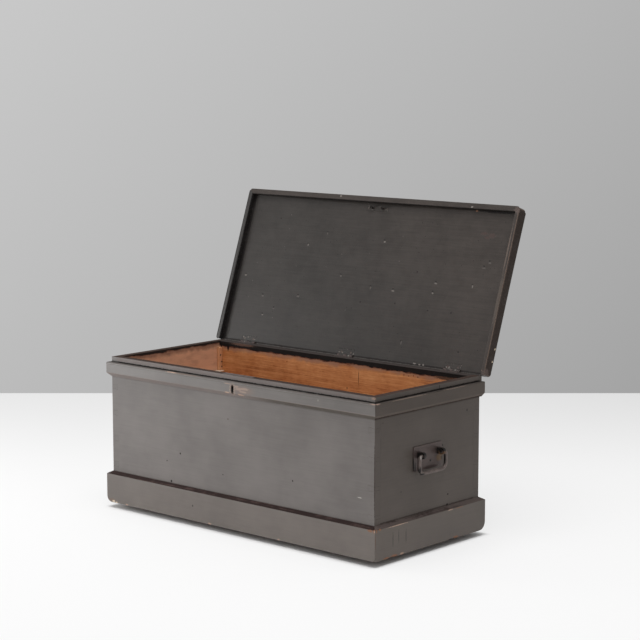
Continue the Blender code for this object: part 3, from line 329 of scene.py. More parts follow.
# Stains and grime, painted shade and a painted highlight of the right handle, by piece. The left one mirrors
# them.
HANDLE_MARKS = {
    "plate": on_face(X, PLATE_FACE, 0.004, (
        (0.04, 0.2225, 0.0165, 0.0105, RUST_STAIN),
        (0.048, 0.2205, 0.006, 0.006, RUST_DARK),
        (0.004, 0.2035, 0.034, 0.0062, IRON_RED),
        # Dark strips beside the bail's front leg: painted shadow of the leg on the plate
        (-0.0535, 0.211, 0.0032, 0.017, IRON_DARK),
        (-0.0445, 0.219, 0.0042, 0.019, IRON_RED),
        (-0.059, 0.218, 0.002, 0.02, IRON_DARK),
    )),
    "bail": (
        # Painted shade at the back eye, inside the back leg and low at the front, and a painted highlight at
        # the front leg's top
        ((0.464, 0.027, 0.242), (0.008, 0.007, 0.007), IRON_DARK),
        ((0.4685, -0.054, 0.237), (0.004, 0.004, 0.007), IRON_HIGHLIGHT),
        ((0.4665, 0.04, 0.22), (0.006, 0.0022, 0.017), IRON_DARK),
        ((0.468, -0.05, 0.1968), (0.006, 0.013, 0.0032), IRON_DARK),
        ((0.4665, -0.0565, 0.206), (0.006, 0.004, 0.013), IRON_DARK),
    ),
}

# Nail holes in the batten that shows, and the pale end of the tray runner under it
BATTEN_HOLES = on_face(X, -0.4167, 0.003, (
    (0.172, 0.3615, 0.003, 0.0026, BLACK_GRIME_AND_SHADE),
    (0.176, 0.343, 0.003, 0.0026, BLACK_GRIME_AND_SHADE),
    (0.1765, 0.329, 0.003, 0.0026, BLACK_GRIME_AND_SHADE),
))
RUNNER_END = (((-0.418, 0.164, 0.319), (0.02, 0.024, 0.004), CREAM_CHIP),)

# Unevenness of paint: what its tone is made of, how far that swings, and the bumps' depth
LID_UNEVEN = {"clouds": 0.4, "blotches": 0.3, "streaks": 0.3, "swing": 0.5, "depth": 0.0007}
BODY_UNEVEN = {"clouds": 0.6, "blotches": 0.18, "streaks": 0.22, "swing": 0.3, "depth": 0.00035}

# Half the blurred edge of a line in the paint, and how far the line strays
LINE_BLUR = 0.0005
LINE_WANDER = 0.005

# Run-over paint inside: how far down from the walls' top the pine is tinged, and where the paint ends
END_RUN = (0.038, 0.0155)
FRONT_RUN = (0.043, 0.0222)

# Rounding of wooden edges
PLINTH_ROUND = 0.0012
BAND_ROUND = 0.0009
FINE_ROUND = 0.0008
WELD_REACH = 0.00002

# Nails by the handles: radius and rise of each ring of the head, and the y and z of each nail
NAIL_PROFILE = ((0.0022, -0.0008), (0.0028, 0.0003), (0.0024, 0.001), (0.0013, 0.0014))
NAIL_TOP = 0.0015
NAIL_SIDES = 12
NAIL_DENTING = 0.08
PLATE_NAIL = (0.004, 0.2195)
BOARD_NAIL = (0.0533, 0.2489)

# Screws of the lock and the link plate
SCREW_RADIUS = 0.003
SCREW_HALF_SLOT = 0.0004
SCREW_DEPTH = 0.0006
SCREW_STEPS = 8
SCREW_INSET = 0.006
LOCK_SCREW_DROP = 0.012
LOCK_SCREW_RISE = 0.0005
LINK_SCREW_RISE = 0.0001

# Camera, fitted to the photo
CAMERA_PLACE = (3.2401, -3.5216, 1.1942)
CAMERA_YAW = math.radians(41.7128)
CAMERA_DOWN = math.radians(8.0693)
CAMERA_LENS = 107.94
SENSOR = 36.0

# Studio
FLOOR_DROP = 0.0005
FLOOR_FAR = 1.82
FLOOR_NEAR = -3.4
FLOOR_SIDE = 3.4
FLOOR_TINT = (0.95, 0.95, 0.95)
FLOOR_FADE = (-0.1, 1.1 * FLOOR_FAR)
FLOOR_SEEN_NEAR = 0.957
FLOOR_SEEN_FAR = 0.77
FLOOR_SEEN_ACROSS = -0.03
FLOOR_SEEN_SHARE = 0.75
SHADE_HALF_LENGTH = PLINTH_X - 0.006
SHADE_EDGE = (-0.001, 0.019)
WALL_GREY = 0.506
WALL_ACROSS = -0.39
WALL_RISE = 0.41
WALL_RANGE = (0.36, 0.58)
FILL = 0.5
LAMP_TARGET = Vector((0.0, 0.0, 0.3))


class Tree:
    """A tree of shader nodes: its calls add nodes, and give the sockets that come out of them."""

    def __init__(self, tree):
        self.tree = tree

    def feed(self, socket, value):
        """Links a socket to another one, or sets it to a constant."""
        if isinstance(value, bpy.types.NodeSocket):
            self.tree.links.new(value, socket)
        elif socket.type == "RGBA":
            socket.default_value = (*value, 1.0)
        else:
            socket.default_value = value

    def node(self, kind, inputs, **settings):
        """A node of this kind, with its settings, and its inputs by name or number."""
        made = self.tree.nodes.new("ShaderNode" + kind)
        for key, value in settings.items():
            setattr(made, key, value)
        for key, value in inputs.items():
            self.feed(made.inputs[key], value)
        return made

    def math(self, operation, first, second=0.0):
        return self.node("Math", {0: first, 1: second}, operation=operation).outputs[0]

    def times(self, first, second):
        return self.math("MULTIPLY", first, second)

    def plus(self, first, second):
        return self.math("ADD", first, second)

    def minus(self, first, second):
        return self.math("SUBTRACT", first, second)

    def larger(self, first, second):
        return self.math("MAXIMUM", first, second)

    def absolute(self, value):
        return self.math("ABSOLUTE", value)

    def vector(self, operation, first, second):
        return self.node("VectorMath", {0: first, 1: second}, operation=operation).outputs[0]

    def split(self, vector):
        return self.node("SeparateXYZ", {0: vector}).outputs[:]

    def join(self, x, y, z):
        return self.node("CombineXYZ", {0: x, 1: y, 2: z}).outputs[0]

    def ramp(self, value, start, end, low=0.0, high=1.0):
        """A smooth step from low to high as the value goes from start to end."""
        inputs = {"Value": value, "From Min": start, "From Max": end, "To Min": low, "To Max": high}
        return self.node("MapRange", inputs, interpolation_type="SMOOTHSTEP").outputs["Result"]

    def mix(self, share, first, second):
        mixed = self.node("Mix", {"Factor": share}, data_type="RGBA")
        self.feed(mixed.inputs[6], first)
        self.feed(mixed.inputs[7], second)
        return mixed.outputs[2]

    def sum(self, *terms):
        """The sum of socket and weight pairs."""
        total = None
        for socket, weight in terms:
            part = self.times(socket, weight)
            total = part if total is None else self.plus(total, part)
        return total

    def seen(self):
        """1 for what the camera sees, also in mirrors and glass, and 0 for light that falls on things."""
        path = self.node("LightPath", {}).outputs
        direct = self.larger(path["Is Camera Ray"], path["Is Glossy Ray"])
        return self.larger(direct, path["Is Transmission Ray"])


class Look(Tree):
    """One procedural material."""

    def __init__(self, name):
        self.material = bpy.data.materials.new(name)
        self.material.use_nodes = True
        super().__init__(self.material.node_tree)
        self.shader = self.tree.nodes["Principled BSDF"]
        coordinates = self.node("TexCoord", {}).outputs
        self.point = coordinates["Object"]
        self.normal = coordinates["Normal"]

    def noise(self, scale, detail=3.0, roughness=0.55, distortion=0.0, streak=None):
        """Noise over the surface. streak, an axis and a share, draws it out along that axis."""
        place = self.point
        if streak:
            axis, share = streak
            drawn_in = [1.0, 1.0, 1.0]
            drawn_in[axis] = share
            place = self.vector("MULTIPLY", place, drawn_in)
        inputs = {"Vector": place, "Scale": scale, "Detail": detail, "Roughness": roughness}
        inputs["Distortion"] = distortion
        return self.node("TexNoise", inputs).outputs["Fac"]

    def shut(self, vector):
        """The place on the lid as if it were shut."""
        inputs = {"Vector": vector, "Center": LID_AXIS, "Angle": LID_OPEN}
        return self.node("VectorRotate", inputs, rotation_type="X_AXIS").outputs[0]

    def edge_distance(self, low, high):
        """How far a place on a box is from the nearest edge: the middle one of its distances to the faces."""
        away = []
        for place, start, end in zip(self.split(self.point), low, high, strict=True):
            from_middle = self.absolute(self.minus(place, (start + end) / 2))
            away.append(self.absolute(self.minus((end - start) / 2, from_middle)))
        smaller = self.math("MINIMUM", away[0], away[1])
        larger = self.larger(away[0], away[1])
        return self.larger(smaller, self.math("MINIMUM", larger, away[2]))

    def spot(self, centre, half_sizes, ragged):
        """A ragged patch round a place: 1 inside, 0 outside."""
        inverse = [1.0 / half for half in half_sizes]
        offset = self.vector("MULTIPLY", self.vector("SUBTRACT", self.point, centre), inverse)
        distance = self.node("VectorMath", {0: offset}, operation="LENGTH").outputs["Value"]
        wobble = self.times(self.minus(ragged, 0.5), 1.6)
        return self.ramp(self.plus(distance, wobble), 1.0, 0.55)

    def flecks(self, flat, scale, size, share):
        """Small marks scattered over a flat place: one to a cell of 1 / scale, in this share of the cells."""
        inputs = {"Vector": flat, "Scale": scale}
        cells = self.node("TexVoronoi", inputs, voronoi_dimensions="2D")
        chance = self.split(cells.outputs["Color"])
        chosen = self.math("LESS_THAN", chance[0], share)
        reach = self.times(chance[1], size * scale)
        past = self.minus(cells.outputs["Distance"], reach)
        inside = self.ramp(past, 0.0, -0.3 * size * scale)
        return self.times(chosen, inside)

    def give(self, values):
        """Sets or links inputs of the surface shader by name."""
        for key, value in values.items():
            self.feed(self.shader.inputs[key], value)

    def finish(self, colour, roughness, height, depth):
        """Wires the colour, the roughness and a bump of this depth in metres, and gives the material."""
        bump = self.node("Bump", {"Strength": 0.5, "Distance": depth, "Height": height})
        self.give({"Base Color": colour, "Roughness": roughness, "Normal": bump.outputs[0]})
        return self.material


def pine_colour(look, grain):
    """Bare aged pine: growth rings, fine lines and pores along the grain, and stains."""
    rings = look.noise(95.0, 3.0, 0.6, 0.7, streak=(grain, 0.05))
    lines = look.noise(420.0, 2.0, 0.6, streak=(grain, 0.02))
    pores = look.noise(900.0, 2.0, streak=(grain, 0.06))
    stains = look.noise(24.0, 5.0, 0.7)
    tone = look.sum((rings, 0.36), (lines, 0.36), (pores, 0.3), (stains, 0.38))
    lower = look.mix(look.ramp(tone, 0.52, 0.7), PINE_DARK, PINE_MID)
    colour = look.mix(look.ramp(tone, 0.68, 0.86), lower, PINE_LIGHT)
    return colour, look.sum((rings, 0.3), (lines, 0.3), (pores, 0.3))


class Paint(Look):
    """Worn satin paint on pine, laid in layers: each call covers part of what is there.

    grain is the axis the wood runs along. On the lid, places are taken as if it were shut.
    """

    def __init__(self, name, grain, on_lid):
        super().__init__(name)
        self.grain = grain
        self.uneven = LID_UNEVEN if on_lid else BODY_UNEVEN
        if on_lid:
            self.point = self.shut(self.point)
        self.x, self.y, self.z = self.split(self.point)
        self.across, _, self.up = self.split(self.normal)
        if on_lid:
            self.flat = self.join(self.x, self.y, 0.0)
        else:
            self.flat = self.join(self.plus(self.x, self.y), self.z, 0.0)
        self.blotches = self.noise(34.0, 4.0, 0.6)
        self.streaks = self.noise(280.0, 3.0, streak=(grain, 0.04))
        self.ragged = self.noise(260.0, 4.0, 0.7)
        self.torn = self.noise(480.0, 3.0, 0.6)
        speckle = self.noise(1100.0, 1.0)
        self.height = self.sum((self.streaks, 0.5), (speckle, 0.2), (self.blotches, 0.6))
        self.roughness = self.sum((self.blotches, 0.24), (self.streaks, 0.12))

    def cover(self, share, colour):
        self.colour = self.mix(share, self.colour, colour)

    def roughen(self, share, amount):
        self.roughness = self.plus(self.roughness, self.times(share, amount))

    def lose(self, share):
        """Notes places where the paint is lost."""
        self.lost = self.larger(self.lost, share)

    def lay_tint(self, tint, shaded_end_tint, right_tint):
        """The paint's colour, lighter and darker in clouds, blotches and streaks, with painted shade on the
        ends and a painted sheen's hue at the lid's left.
        """
        colour = tint
        if shaded_end_tint:
            colour = self.mix(self.ramp(self.absolute(self.across), 0.4, 0.6), tint, shaded_end_tint)
        if right_tint:
            along = self.minus(self.x, self.times(self.y, 0.8))
            colour = self.mix(self.ramp(along, -0.25, 0.6), tint, right_tint)
        fields = {"clouds": self.noise(6.0, 3.0), "blotches": self.blotches, "streaks": self.streaks}
        tone = self.sum(*[(field, self.uneven[key]) for key, field in fields.items()])
        tone = self.ramp(tone, 0.3, 0.7, -0.5, 0.5)
        shade = self.plus(self.times(tone, self.uneven["swing"]), 1.0)
        self.colour = self.vector("MULTIPLY", colour, self.join(shade, shade, shade))

    def settle_grime_and_shade(self, first, second):
        """Dirt of two tones on the faces that look up; on the tops under the lid, painted shadow as well."""
        settled = self.ramp(self.up, 0.45, 0.8)
        tone = self.ramp(self.sum((self.streaks, 0.6), (self.blotches, 0.4)), 0.5, 0.64)
        self.cover(settled, self.mix(tone, first, second))
        self.roughen(settled, 0.6)

    def scrape_chamfer(self, left, right):
        """Scraped paint on the faces that look down and out, in its left and its right colour."""
        leaning = self.times(self.ramp(self.up, -0.3, -0.5), self.ramp(self.up, -0.95, -0.85))
        scraped = self.times(leaning, self.ramp(self.blotches, 0.3, 0.55, 0.75, 1.0))
        self.cover(scraped, self.mix(self.ramp(self.x, 0.02, 0.16), left, right))
        self.roughen(leaning, 0.45)

    def wear_edges(self, box, widest, share):
        """Bare wood along the edges of a box, in strips up to the widest, on about this share of them."""
        edge = self.edge_distance(*box)
        places = self.sum((self.noise(21.0, 2.0), 0.6), (self.ragged, 0.4))
        width = self.ramp(places, 0.68 - 0.3 * share, 0.84 - 0.3 * share, -0.0006, widest)
        self.lost = self.ramp(self.minus(edge, width), 0.0003, -0.0005)
        bare = self.mix(self.ramp(self.noise(75.0), 0.4, 0.65), WORN_WOOD, PALE_WOOD)
        self.cover(self.lost, bare)

    def scatter(self, flecks):
        """Flecks all over: each kind's cells to a metre, size, share of the cells and colour."""
        for scale, size, share, colour in flecks:
            marks = self.flecks(self.flat, scale, size, share)
            self.cover(self.times(marks, 0.85), colour)
            self.lose(marks)

    def draw_lines(self, lines):
        """Straying strips across an axis: each one's axis, start and end there, colour and strength."""
        stray = self.times(self.minus(self.ragged, 0.5), LINE_WANDER)
        for axis, start, end, colour, strength in lines:
            place = self.plus((self.x, self.y, self.z)[axis], stray)
            begun = self.ramp(place, start - LINE_BLUR, start + LINE_BLUR)
            open_yet = self.ramp(place, end + LINE_BLUR, end - LINE_BLUR)
            fill = self.ramp(self.blotches, 0.3, 0.5, 0.7 * strength, strength)
            strip = self.times(self.times(begun, open_yet), fill)
            self.cover(strip, colour)
            self.roughen(strip, 0.4)

    def run_over(self, pine):
        """The pine's colour with a tinged margin and run-over paint along the walls' top."""
        tinged, reach = END_RUN if self.grain == Y else FRONT_RUN
        down = self.minus(WALL_TOP, self.z)
        waver = self.times(self.noise(30.0, 4.0, 0.65), 0.03)
        margin = self.plus(down, waver)
        pine = self.mix(self.ramp(margin, tinged, tinged - 0.014, 0.0, 0.85), pine, PINE_MARGIN)
        run = self.noise(55.0, 4.0, 0.7, streak=(self.grain, 0.35))
        brushed = self.plus(down, self.times(run, 0.02))
        pine = self.mix(self.ramp(brushed, reach + 0.0035, reach + 0.001, 0.0, 0.8), pine, RED_RUN)
        return self.mix(self.ramp(brushed, reach + 0.0012, reach - 0.001), pine, BLACK_GRIME_AND_SHADE)

    def bare_inside(self):
        """Leaves the faces in the chest bare, those of the ends paler and mottled: partly painted light."""
        pine, pine_height = pine_colour(self, self.grain)
        if self.grain == Y:
            mottle = self.noise(60.0, 4.0, 0.6, streak=(Y, 0.4))
            paler = self.mix(0.7, pine, PINE_PALE_AND_LIT)
            pine = self.mix(self.ramp(mottle, 0.4, 0.72, 0.0, 0.4), paler, PINE_MOTTLE)
        pine = self.run_over(pine)
        out = self.minus(self.absolute(self.x), INNER_X)
        back = self.minus(self.absolute(self.y), INNER_Y)
        within = self.ramp(self.larger(out, back), 0.0006, 0.0002)
        self.cover(within, pine)
        self.roughen(within, 0.25)
        self.height = self.plus(self.height, self.times(within, pine_height))

    def chip(self, marks):
        """Ragged patches: for each, its middle, its half sizes and its colour."""
        for centre, half_sizes, colour in marks:
            patch = self.spot(centre, half_sizes, self.torn)
            self.cover(patch, colour)
            self.lose(patch)

    def done(self, gloss):
        """Sinks and roughens the places where paint is lost, and gives the material."""
        self.roughen(self.lost, 0.3)
        roughness = self.plus(self.roughness, 0.26)
        height = self.minus(self.height, self.times(self.lost, 0.6))
        self.give({"Specular IOR Level": gloss})
        return self.finish(self.colour, roughness, height, self.uneven["depth"])


def paint(
    name, grain, box, tint, shaded_end_tint=None, right_tint=None, wear=0.002, share=0.3, grime_and_shade=None, chamfer=None,
    lines=(), chips=(), flecks=(), inside=False, gloss=0.5,
):
    """A piece's worn paint, from the layers above.

    box is the one whose edges are worn. tint colours the faces, and shaded_end_tint, darker as painted shade,
    those that look left or right. A piece without shaded_end_tint is on the lid, and its colour goes over to
    right_tint if there is one; the neutral left tint of the lid is the hue of a painted sheen. wear is the
    widest worn strip and share how much of the edges it takes. grime_and_shade holds the two tones of the
    faces
    that look up: dirt, and on the tops under the lid painted shadow as well. chamfer holds the left and right
    colours of those that look down and out. inside leaves the faces in the chest bare.
    """
    look = Paint(name, grain, on_lid=shaded_end_tint is None)
    look.lay_tint(tint, shaded_end_tint, right_tint)
    if grime_and_shade:
        look.settle_grime_and_shade(*grime_and_shade)
    if chamfer:
        look.scrape_chamfer(*chamfer)
    look.wear_edges(box, wear, share)
    look.scatter(flecks)
    look.draw_lines(lines)
    if inside:
        look.bare_inside()
    look.chip(chips)
    return look.done(gloss)


def bare_pine(name, grain, low, high, darkened_all_over, paler=0.0, chips=()):
    """Unpainted pine with dark, rubbed edges: darker all over or only on the faces that look down, and paler,
    towards tan.
    """
    look = Look(name)
    colour, height = pine_colour(look, grain)
    if paler:
        colour = look.mix(paler, colour, PINE_TAN)
    edge = look.edge_distance(low, high)
    ragged = look.noise(180.0, 4.0, 0.65)
    rubbed = look.ramp(look.minus(edge, look.times(ragged, 0.004)), 0.0006, -0.0012)
    colour = look.mix(look.times(rubbed, 0.7 - 0.5 * paler), colour, PINE_DARK)
    up = look.split(look.normal)[2]
    darkening_start, darkening_end = (1.5, 1.0) if darkened_all_over else (-0.4, -0.7)
    colour = look.mix(look.ramp(up, darkening_start, darkening_end, 0.0, 0.85), colour, BROWN_GRIME_AND_SHADE)
    for centre, half_sizes, colour_of_chip in chips:
        colour = look.mix(look.spot(centre, half_sizes, ragged), colour, colour_of_chip)
    roughness = look.sum((ragged, 0.25), (height, 0.3))
    return look.finish(colour, look.plus(roughness, 0.35), height, 0.0006)


def iron(name, base, dark_share, rust, low, high, marks=()):
    """Old forged iron: a skin between black and its base colour, rust low down, rubbed edges, and marks."""
    look = Look(name)
    bloom = look.noise(90.0, 5.0, 0.65)
    pits = look.noise(900.0, 3.0, 0.6)
    patches = look.noise(60.0, 4.0, 0.6)
    skin = look.ramp(bloom, 0.36, 0.64, 1.0 - dark_share, 1.0)
    colour = look.mix(skin, IRON_DARK, base)
    rusted = look.ramp(look.sum((patches, 0.7), (pits, 0.3)), 0.66 - rust, 0.74 - rust)
    middle = (low[2] + high[2]) / 2
    below = look.ramp(look.split(look.point)[2], middle + 0.002, middle - 0.002)
    rusted = look.times(rusted, below)
    colour = look.mix(rusted, colour, RUST)
    edge = look.edge_distance(low, high)
    rubbed = look.ramp(look.minus(edge, look.times(bloom, 0.0024)), 0.0, -0.0008)
    colour = look.mix(look.times(rubbed, 0.6), colour, IRON_RUBBED)
    for centre, half_sizes, colour_of_mark in marks:
        colour = look.mix(look.spot(centre, half_sizes, pits), colour, colour_of_mark)
    roughness = look.plus(look.sum((bloom, 0.25), (rusted, 0.25)), 0.35)
    look.give({"Metallic": 0.35})
    return look.finish(colour, roughness, look.sum((pits, 0.6), (bloom, 0.8)), 0.0004)


def dull_steel(name):
    """Worn steel of pins and screws: brushed, with brown in its low places."""
    look = Look(name)
    brushed = look.noise(900.0, 3.0, streak=(X, 0.1))
    bloom = look.noise(160.0, 4.0, 0.6)
    colour = look.mix(look.ramp(bloom, 0.4, 0.62), IRON_PINK, STEEL_DULL)
    roughness = look.plus(look.sum((brushed, 0.3), (bloom, 0.2)), 0.25)
    look.give({"Metallic": 0.8})
    return look.finish(colour, roughness, look.sum((brushed, 0.6), (bloom, 0.4)), 0.0003)


def dress(name, material):
    """Gives a CAD node this material alone."""
    slots = nodes[name].data.materials
    slots.clear()
    slots.append(material)


def soften(name, width):
    """Rounds a wooden node's edges a little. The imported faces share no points, so these are joined first."""
    node = nodes[name]
    joined = node.modifiers.new("joined", "WELD")
    joined.merge_threshold = WELD_REACH
    rounded = node.modifiers.new("rounded", "BEVEL")
    rounded.width = width
    rounded.segments = 2
    rounded.limit_method = "ANGLE"
    rounded.angle_limit = math.radians(35)
    rounded.harden_normals = True


def dress_boards(boards, box, tints, width, **shared):
    """Paints boards with what they share and what each has of its own, and rounds their edges by width."""
    for name, grain, own in boards:
        dress(name, paint("paint_" + name, grain, box, *tints, **shared, **own))
        if width:
            soften(name, width)


def dress_on_lid(name, grain, tint, **settings):
    """Paints a piece of the lid."""
    dress(name, paint("paint_" + name, grain, shut_box(name), tint, gloss=0.3, **settings))


def dress_walls():
    """The four walls keep their sharp edges, because rounded ones would draw the dovetails' outlines."""
    box = (-HALF_LENGTH, -HALF_DEPTH, -WALL_TOP), (HALF_LENGTH, HALF_DEPTH, WALL_TOP)
    # Painted shade in the creases: at the lip's foot above the band, and under the band
    crease_shade = (
        (Z, BAND_TOP - 0.001, BAND_TOP + 0.0036, BLACK_GRIME_AND_SHADE, 0.95),
        (Z, BAND_LOW - 0.002, BAND_LOW + 0.001, BROWN_GRIME_AND_SHADE, 0.2),
    )
    # On the front and back also painted shade above the plinth, and the lip's pink face
    front_shade_and_lip = (
        *crease_shade,
        (Z, PLINTH_TOP - 0.001, PLINTH_TOP + 0.0016, BROWN_GRIME_AND_SHADE, 0.3),
        (Z, BAND_TOP + 0.0045, WALL_TOP - 0.0012, LIP_PINK, 0.45),
    )
    # On the ends also painted shade above the plinth
    end_crease_shade = (*crease_shade, (Z, PLINTH_TOP - 0.001, PLINTH_TOP + 0.0034, BROWN_GRIME_AND_SHADE, 0.6))
    front_marks = FRONT_MARKS + NEAR_CORNER_MARKS + KEYHOLE_MARKS
    right_marks = RIGHT_MARKS + NEAR_CORNER_MARKS
    top = (LIP_TOP, LIP_TOP_DARK)
    # The back board's top, under the lid, is dark with dirt and painted shadow of the lid
    back_top = (BACK_TOP, BACK_TOP_DARK)
    boards = (
        ("front_board", X, {"grime_and_shade": top, "lines": front_shade_and_lip, "chips": front_marks}),
        ("back_board", X, {"grime_and_shade": back_top, "lines": front_shade_and_lip, "chips": BACK_MARKS}),
        ("left_end_board", Y, {"grime_and_shade": top, "lines": end_crease_shade}),
        ("right_end_board", Y, {"grime_and_shade": top, "lines": end_crease_shade, "chips": right_marks}),
    )
    flecks = ((9.0, 0.002, 0.2, GRIME), (16.0, 0.001, 0.2, PALE_FLECK))
    tints = (FRONT_PAINT, END_PAINT_SHADED)
    dress_boards(boards, box, tints, 0.0, wear=0.0012, share=0.12, flecks=flecks, inside=True, gloss=0.2)


def dress_plinth():
    """The plinth's boards, with dirt on their sloped tops."""
    box = (-PLINTH_X, -PLINTH_Y, PLINTH_LOW), (PLINTH_X, PLINTH_Y, PLINTH_ARRIS)
    long_slope = (SLOPE_DARK, SLOPE_BROWN)
    end_slope = (SLOPE_END, SLOPE_END_DARK)
    boards = (
        ("plinth_front", X, {"grime_and_shade": long_slope, "chips": PLINTH_FRONT_MARKS}),
        ("plinth_back", X, {"grime_and_shade": long_slope}),
        ("plinth_left", Y, {"grime_and_shade": end_slope}),
        ("plinth_right", Y, {"grime_and_shade": end_slope, "chips": PLINTH_RIGHT_MARKS}),
    )
    tints = (PLINTH_FRONT_PAINT, PLINTH_END_PAINT_SHADED)
    dress_boards(boards, box, tints, PLINTH_ROUND, wear=0.002, share=0.1, gloss=0.35)


def dress_band():
    """The band under the lip, and the hinge rail that goes on from it across the back."""
    box = (-BAND_X, -BAND_Y, BAND_LOW_ARRIS), (BAND_X, BAND_Y, BAND_TOP)
    front = {
        "chamfer": (CHAMFER_PALE, CHAMFER_DARK),
        "grime_and_shade": (BAND_TOP_FRONT, BAND_TOP_FRONT_DARK),
        "chips": BAND_FRONT_MARKS + KEYHOLE_MARKS,
        "lines": ((Z, 0.3795, 0.3809, CHAMFER_DARK, 0.5), (Z, 0.3566, 0.3582, CHAMFER_ARRIS, 0.45)),
        "gloss": 0.5,
    }
    end = {
        "chamfer": (CHAMFER_END, CHAMFER_END),
        "grime_and_shade": (BAND_TOP_END, BAND_TOP_END_DARK),
        # Painted shade along the ends' lower edge
        "lines": ((Z, BAND_LOW - 0.001, BAND_LOW + 0.0045, BROWN_GRIME_AND_SHADE, 0.85),),
        "gloss": 0.2,
    }
    boards = (
        ("band_front", X, front),
        ("band_left", Y, end),
        ("band_right", Y, {**end, "chips": BAND_RIGHT_MARKS}),
        # The hinge rail's top, under the lid: dirt and painted shadow of the lid
        ("hinge_rail", X, {**end, "grime_and_shade": (BACK_TOP_DARK, BROWN_GRIME_AND_SHADE), "lines": ()}),
    )
    dress_boards(boards, box, (BAND_FRONT_PAINT, BAND_END_PAINT_SHADED), BAND_ROUND, wear=0.0014, share=0.06)


def panel_marks():
    """The lid's marks. Chips and scuffs vary in size and in the way they lie, and each has an edge of painted
    shade.
    """
    shade_x, shade_y = LID_SHADE_OFFSET
    marks = list(PANEL_MARKS)
    for places, colour in ((LID_CHIPS, LID_FLECK_AND_HIGHLIGHT), (LID_SCUFFS, LID_SCUFF)):
        for number, (x, y) in enumerate(places):
            long = 0.0036 + 0.0012 * (number % 3)
            wide = 0.0022 + 0.0006 * (number % 2)
            half_sizes = (long, wide, LID_MARK_DEPTH) if number % 4 else (wide, long, LID_MARK_DEPTH)
            marks.append(((x + shade_x, y + shade_y, LID_UNDERSIDE), LID_SHADE_HALF, LID_SHADE_AND_DARK_FLECK))
            marks.append(((x, y, LID_UNDERSIDE), half_sizes, colour))
    for x, y in LID_DENTS:
        marks.append(((x, y, LID_UNDERSIDE), LID_DENT_HALF, DARK_DENT_AND_SHADE))
    return marks


def dress_lid_panel():
    """The lid's panel, with its scattered wear, painted shade along its left and back edges, and a painted
    highlight on its back edge.
    """
    scattered = (
        (20.0, 0.0014, 0.35, LID_FLECK_AND_HIGHLIGHT),
        (13.0, 0.0018, 0.25, DARK_DENT_AND_SHADE),
        (37.0, 0.0014, 0.4, LID_PINK),
        (58.0, 0.0016, 0.3, LID_SHADE_AND_DARK_FLECK),
    )
    lines = (
        # Painted shade beside the left rim, painted shade in the gap along the back edge, and a painted
        # highlight on that edge
        (X, -RIM_INNER_X - 0.001, -RIM_INNER_X + 0.008, BLACK_GRIME_AND_SHADE, 0.98),
        (Y, 0.2085, 0.213, DARK_DENT_AND_SHADE, 0.8),
        (Y, 0.2134, 0.216, LID_FLECK_AND_HIGHLIGHT, 0.5),
    )
    dress_on_lid(
        "lid_panel", X, LID_LEFT_PAINT_AND_SHEEN, right_tint=LID_RIGHT_PAINT, wear=0.0012, share=0.05, lines=lines,
        chips=panel_marks(), flecks=scattered,
    )
    soften("lid_panel", FINE_ROUND)


def dress_lid_rims():
    """The rim strips round the lid, with painted shade on the inner faces of the left and front rims, dark
    lines along their outer edges and the worn right arris.
    """
    left_lines = (
        # Painted shade on the left rim's inner face, and a dark line at its outer edge
        (X, -RIM_INNER_X - 0.0022, -RIM_INNER_X + 0.0006, BLACK_GRIME_AND_SHADE, 0.98),
        (X, -RIM_OUTER_X - 0.001, -RIM_OUTER_X + 0.0016, DARK_DENT_AND_SHADE, 0.8),
    )
    right_lines = (
        (X, RIM_OUTER_X - 0.001, RIM_OUTER_X + 0.006, RIM_OUTER_PAINT, 0.9),
        (X, RIM_OUTER_X - 0.0032, RIM_OUTER_X - 0.0012, RIM_ARRIS, 0.7),
    )
    # Painted shade on the front rim's inner face
    front_lines = ((Y, -0.2011, -0.1999, BLACK_GRIME_AND_SHADE, 0.85),)
    rims = (
        ("lid_rim_front", X, RIM_FRONT_PAINT, 0.002, 0.22, front_lines, RIM_FRONT_MARKS),
        ("lid_rim_left", Y, RIM_LEFT_PAINT, 0.0008, 0.05, left_lines, ()),
        ("lid_rim_right", Y, RIM_RIGHT_PAINT, 0.002, 0.35, right_lines, RIM_RIGHT_MARKS),
    )
    for name, grain, tint, wear, share, lines, marks in rims:
        dress_on_lid(name, grain, tint, wear=wear, share=share, lines=lines, chips=marks)
        soften(name, FINE_ROUND)


def dress_bare_wood():
    """The bottom, the runners and the battens. The battens are paler, and the runners below are darker all
    over.
    """
    along_x = ["bottom_board_front", "bottom_board_back"]
    along_y = ["runner_left", "runner_middle", "runner_right", "tray_runner_left", "tray_runner_right"]
    along_z = [f"corner_batten_{end}_{side}" for end in ("front", "back") for side in ("left", "right")]
    chips = {"corner_batten_back_left": BATTEN_HOLES, "tray_runner_left": RUNNER_END}
    for grain, names in enumerate((along_x, along_y, along_z)):
        for name in names:
            paler = 0.65 if grain == Z else 0.0
            darkened_all_over = name.startswith("runner")
            dress(name, bare_pine("pine_" + name, grain, *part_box(name), darkened_all_over, paler, chips.get(name, ())))
            soften(name, FINE_ROUND)


def dress_handles():
    """Both handles' plates, bails and eyes."""
    pieces = (
        ("plate", IRON_PINK, 0.25, -0.1),
        ("bail", IRON_BROWN, 0.4, 0.0),
        ("eye_front", IRON_DARK, 0.0, 0.0),
        ("eye_back", IRON_DARK, 0.0, 0.2),
    )
    for end, side in ENDS:
        for piece, base, dark_share, rust in pieces:
            name = f"handle_{end}_{piece}"
            marks = []
            for (x, y, z), half_sizes, colour in HANDLE_MARKS.get(piece, ()):
                marks.append(((side * x, y, z), half_sizes, colour))
            dress(name, iron("iron_" + name, base, dark_share, rust, *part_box(name), marks))


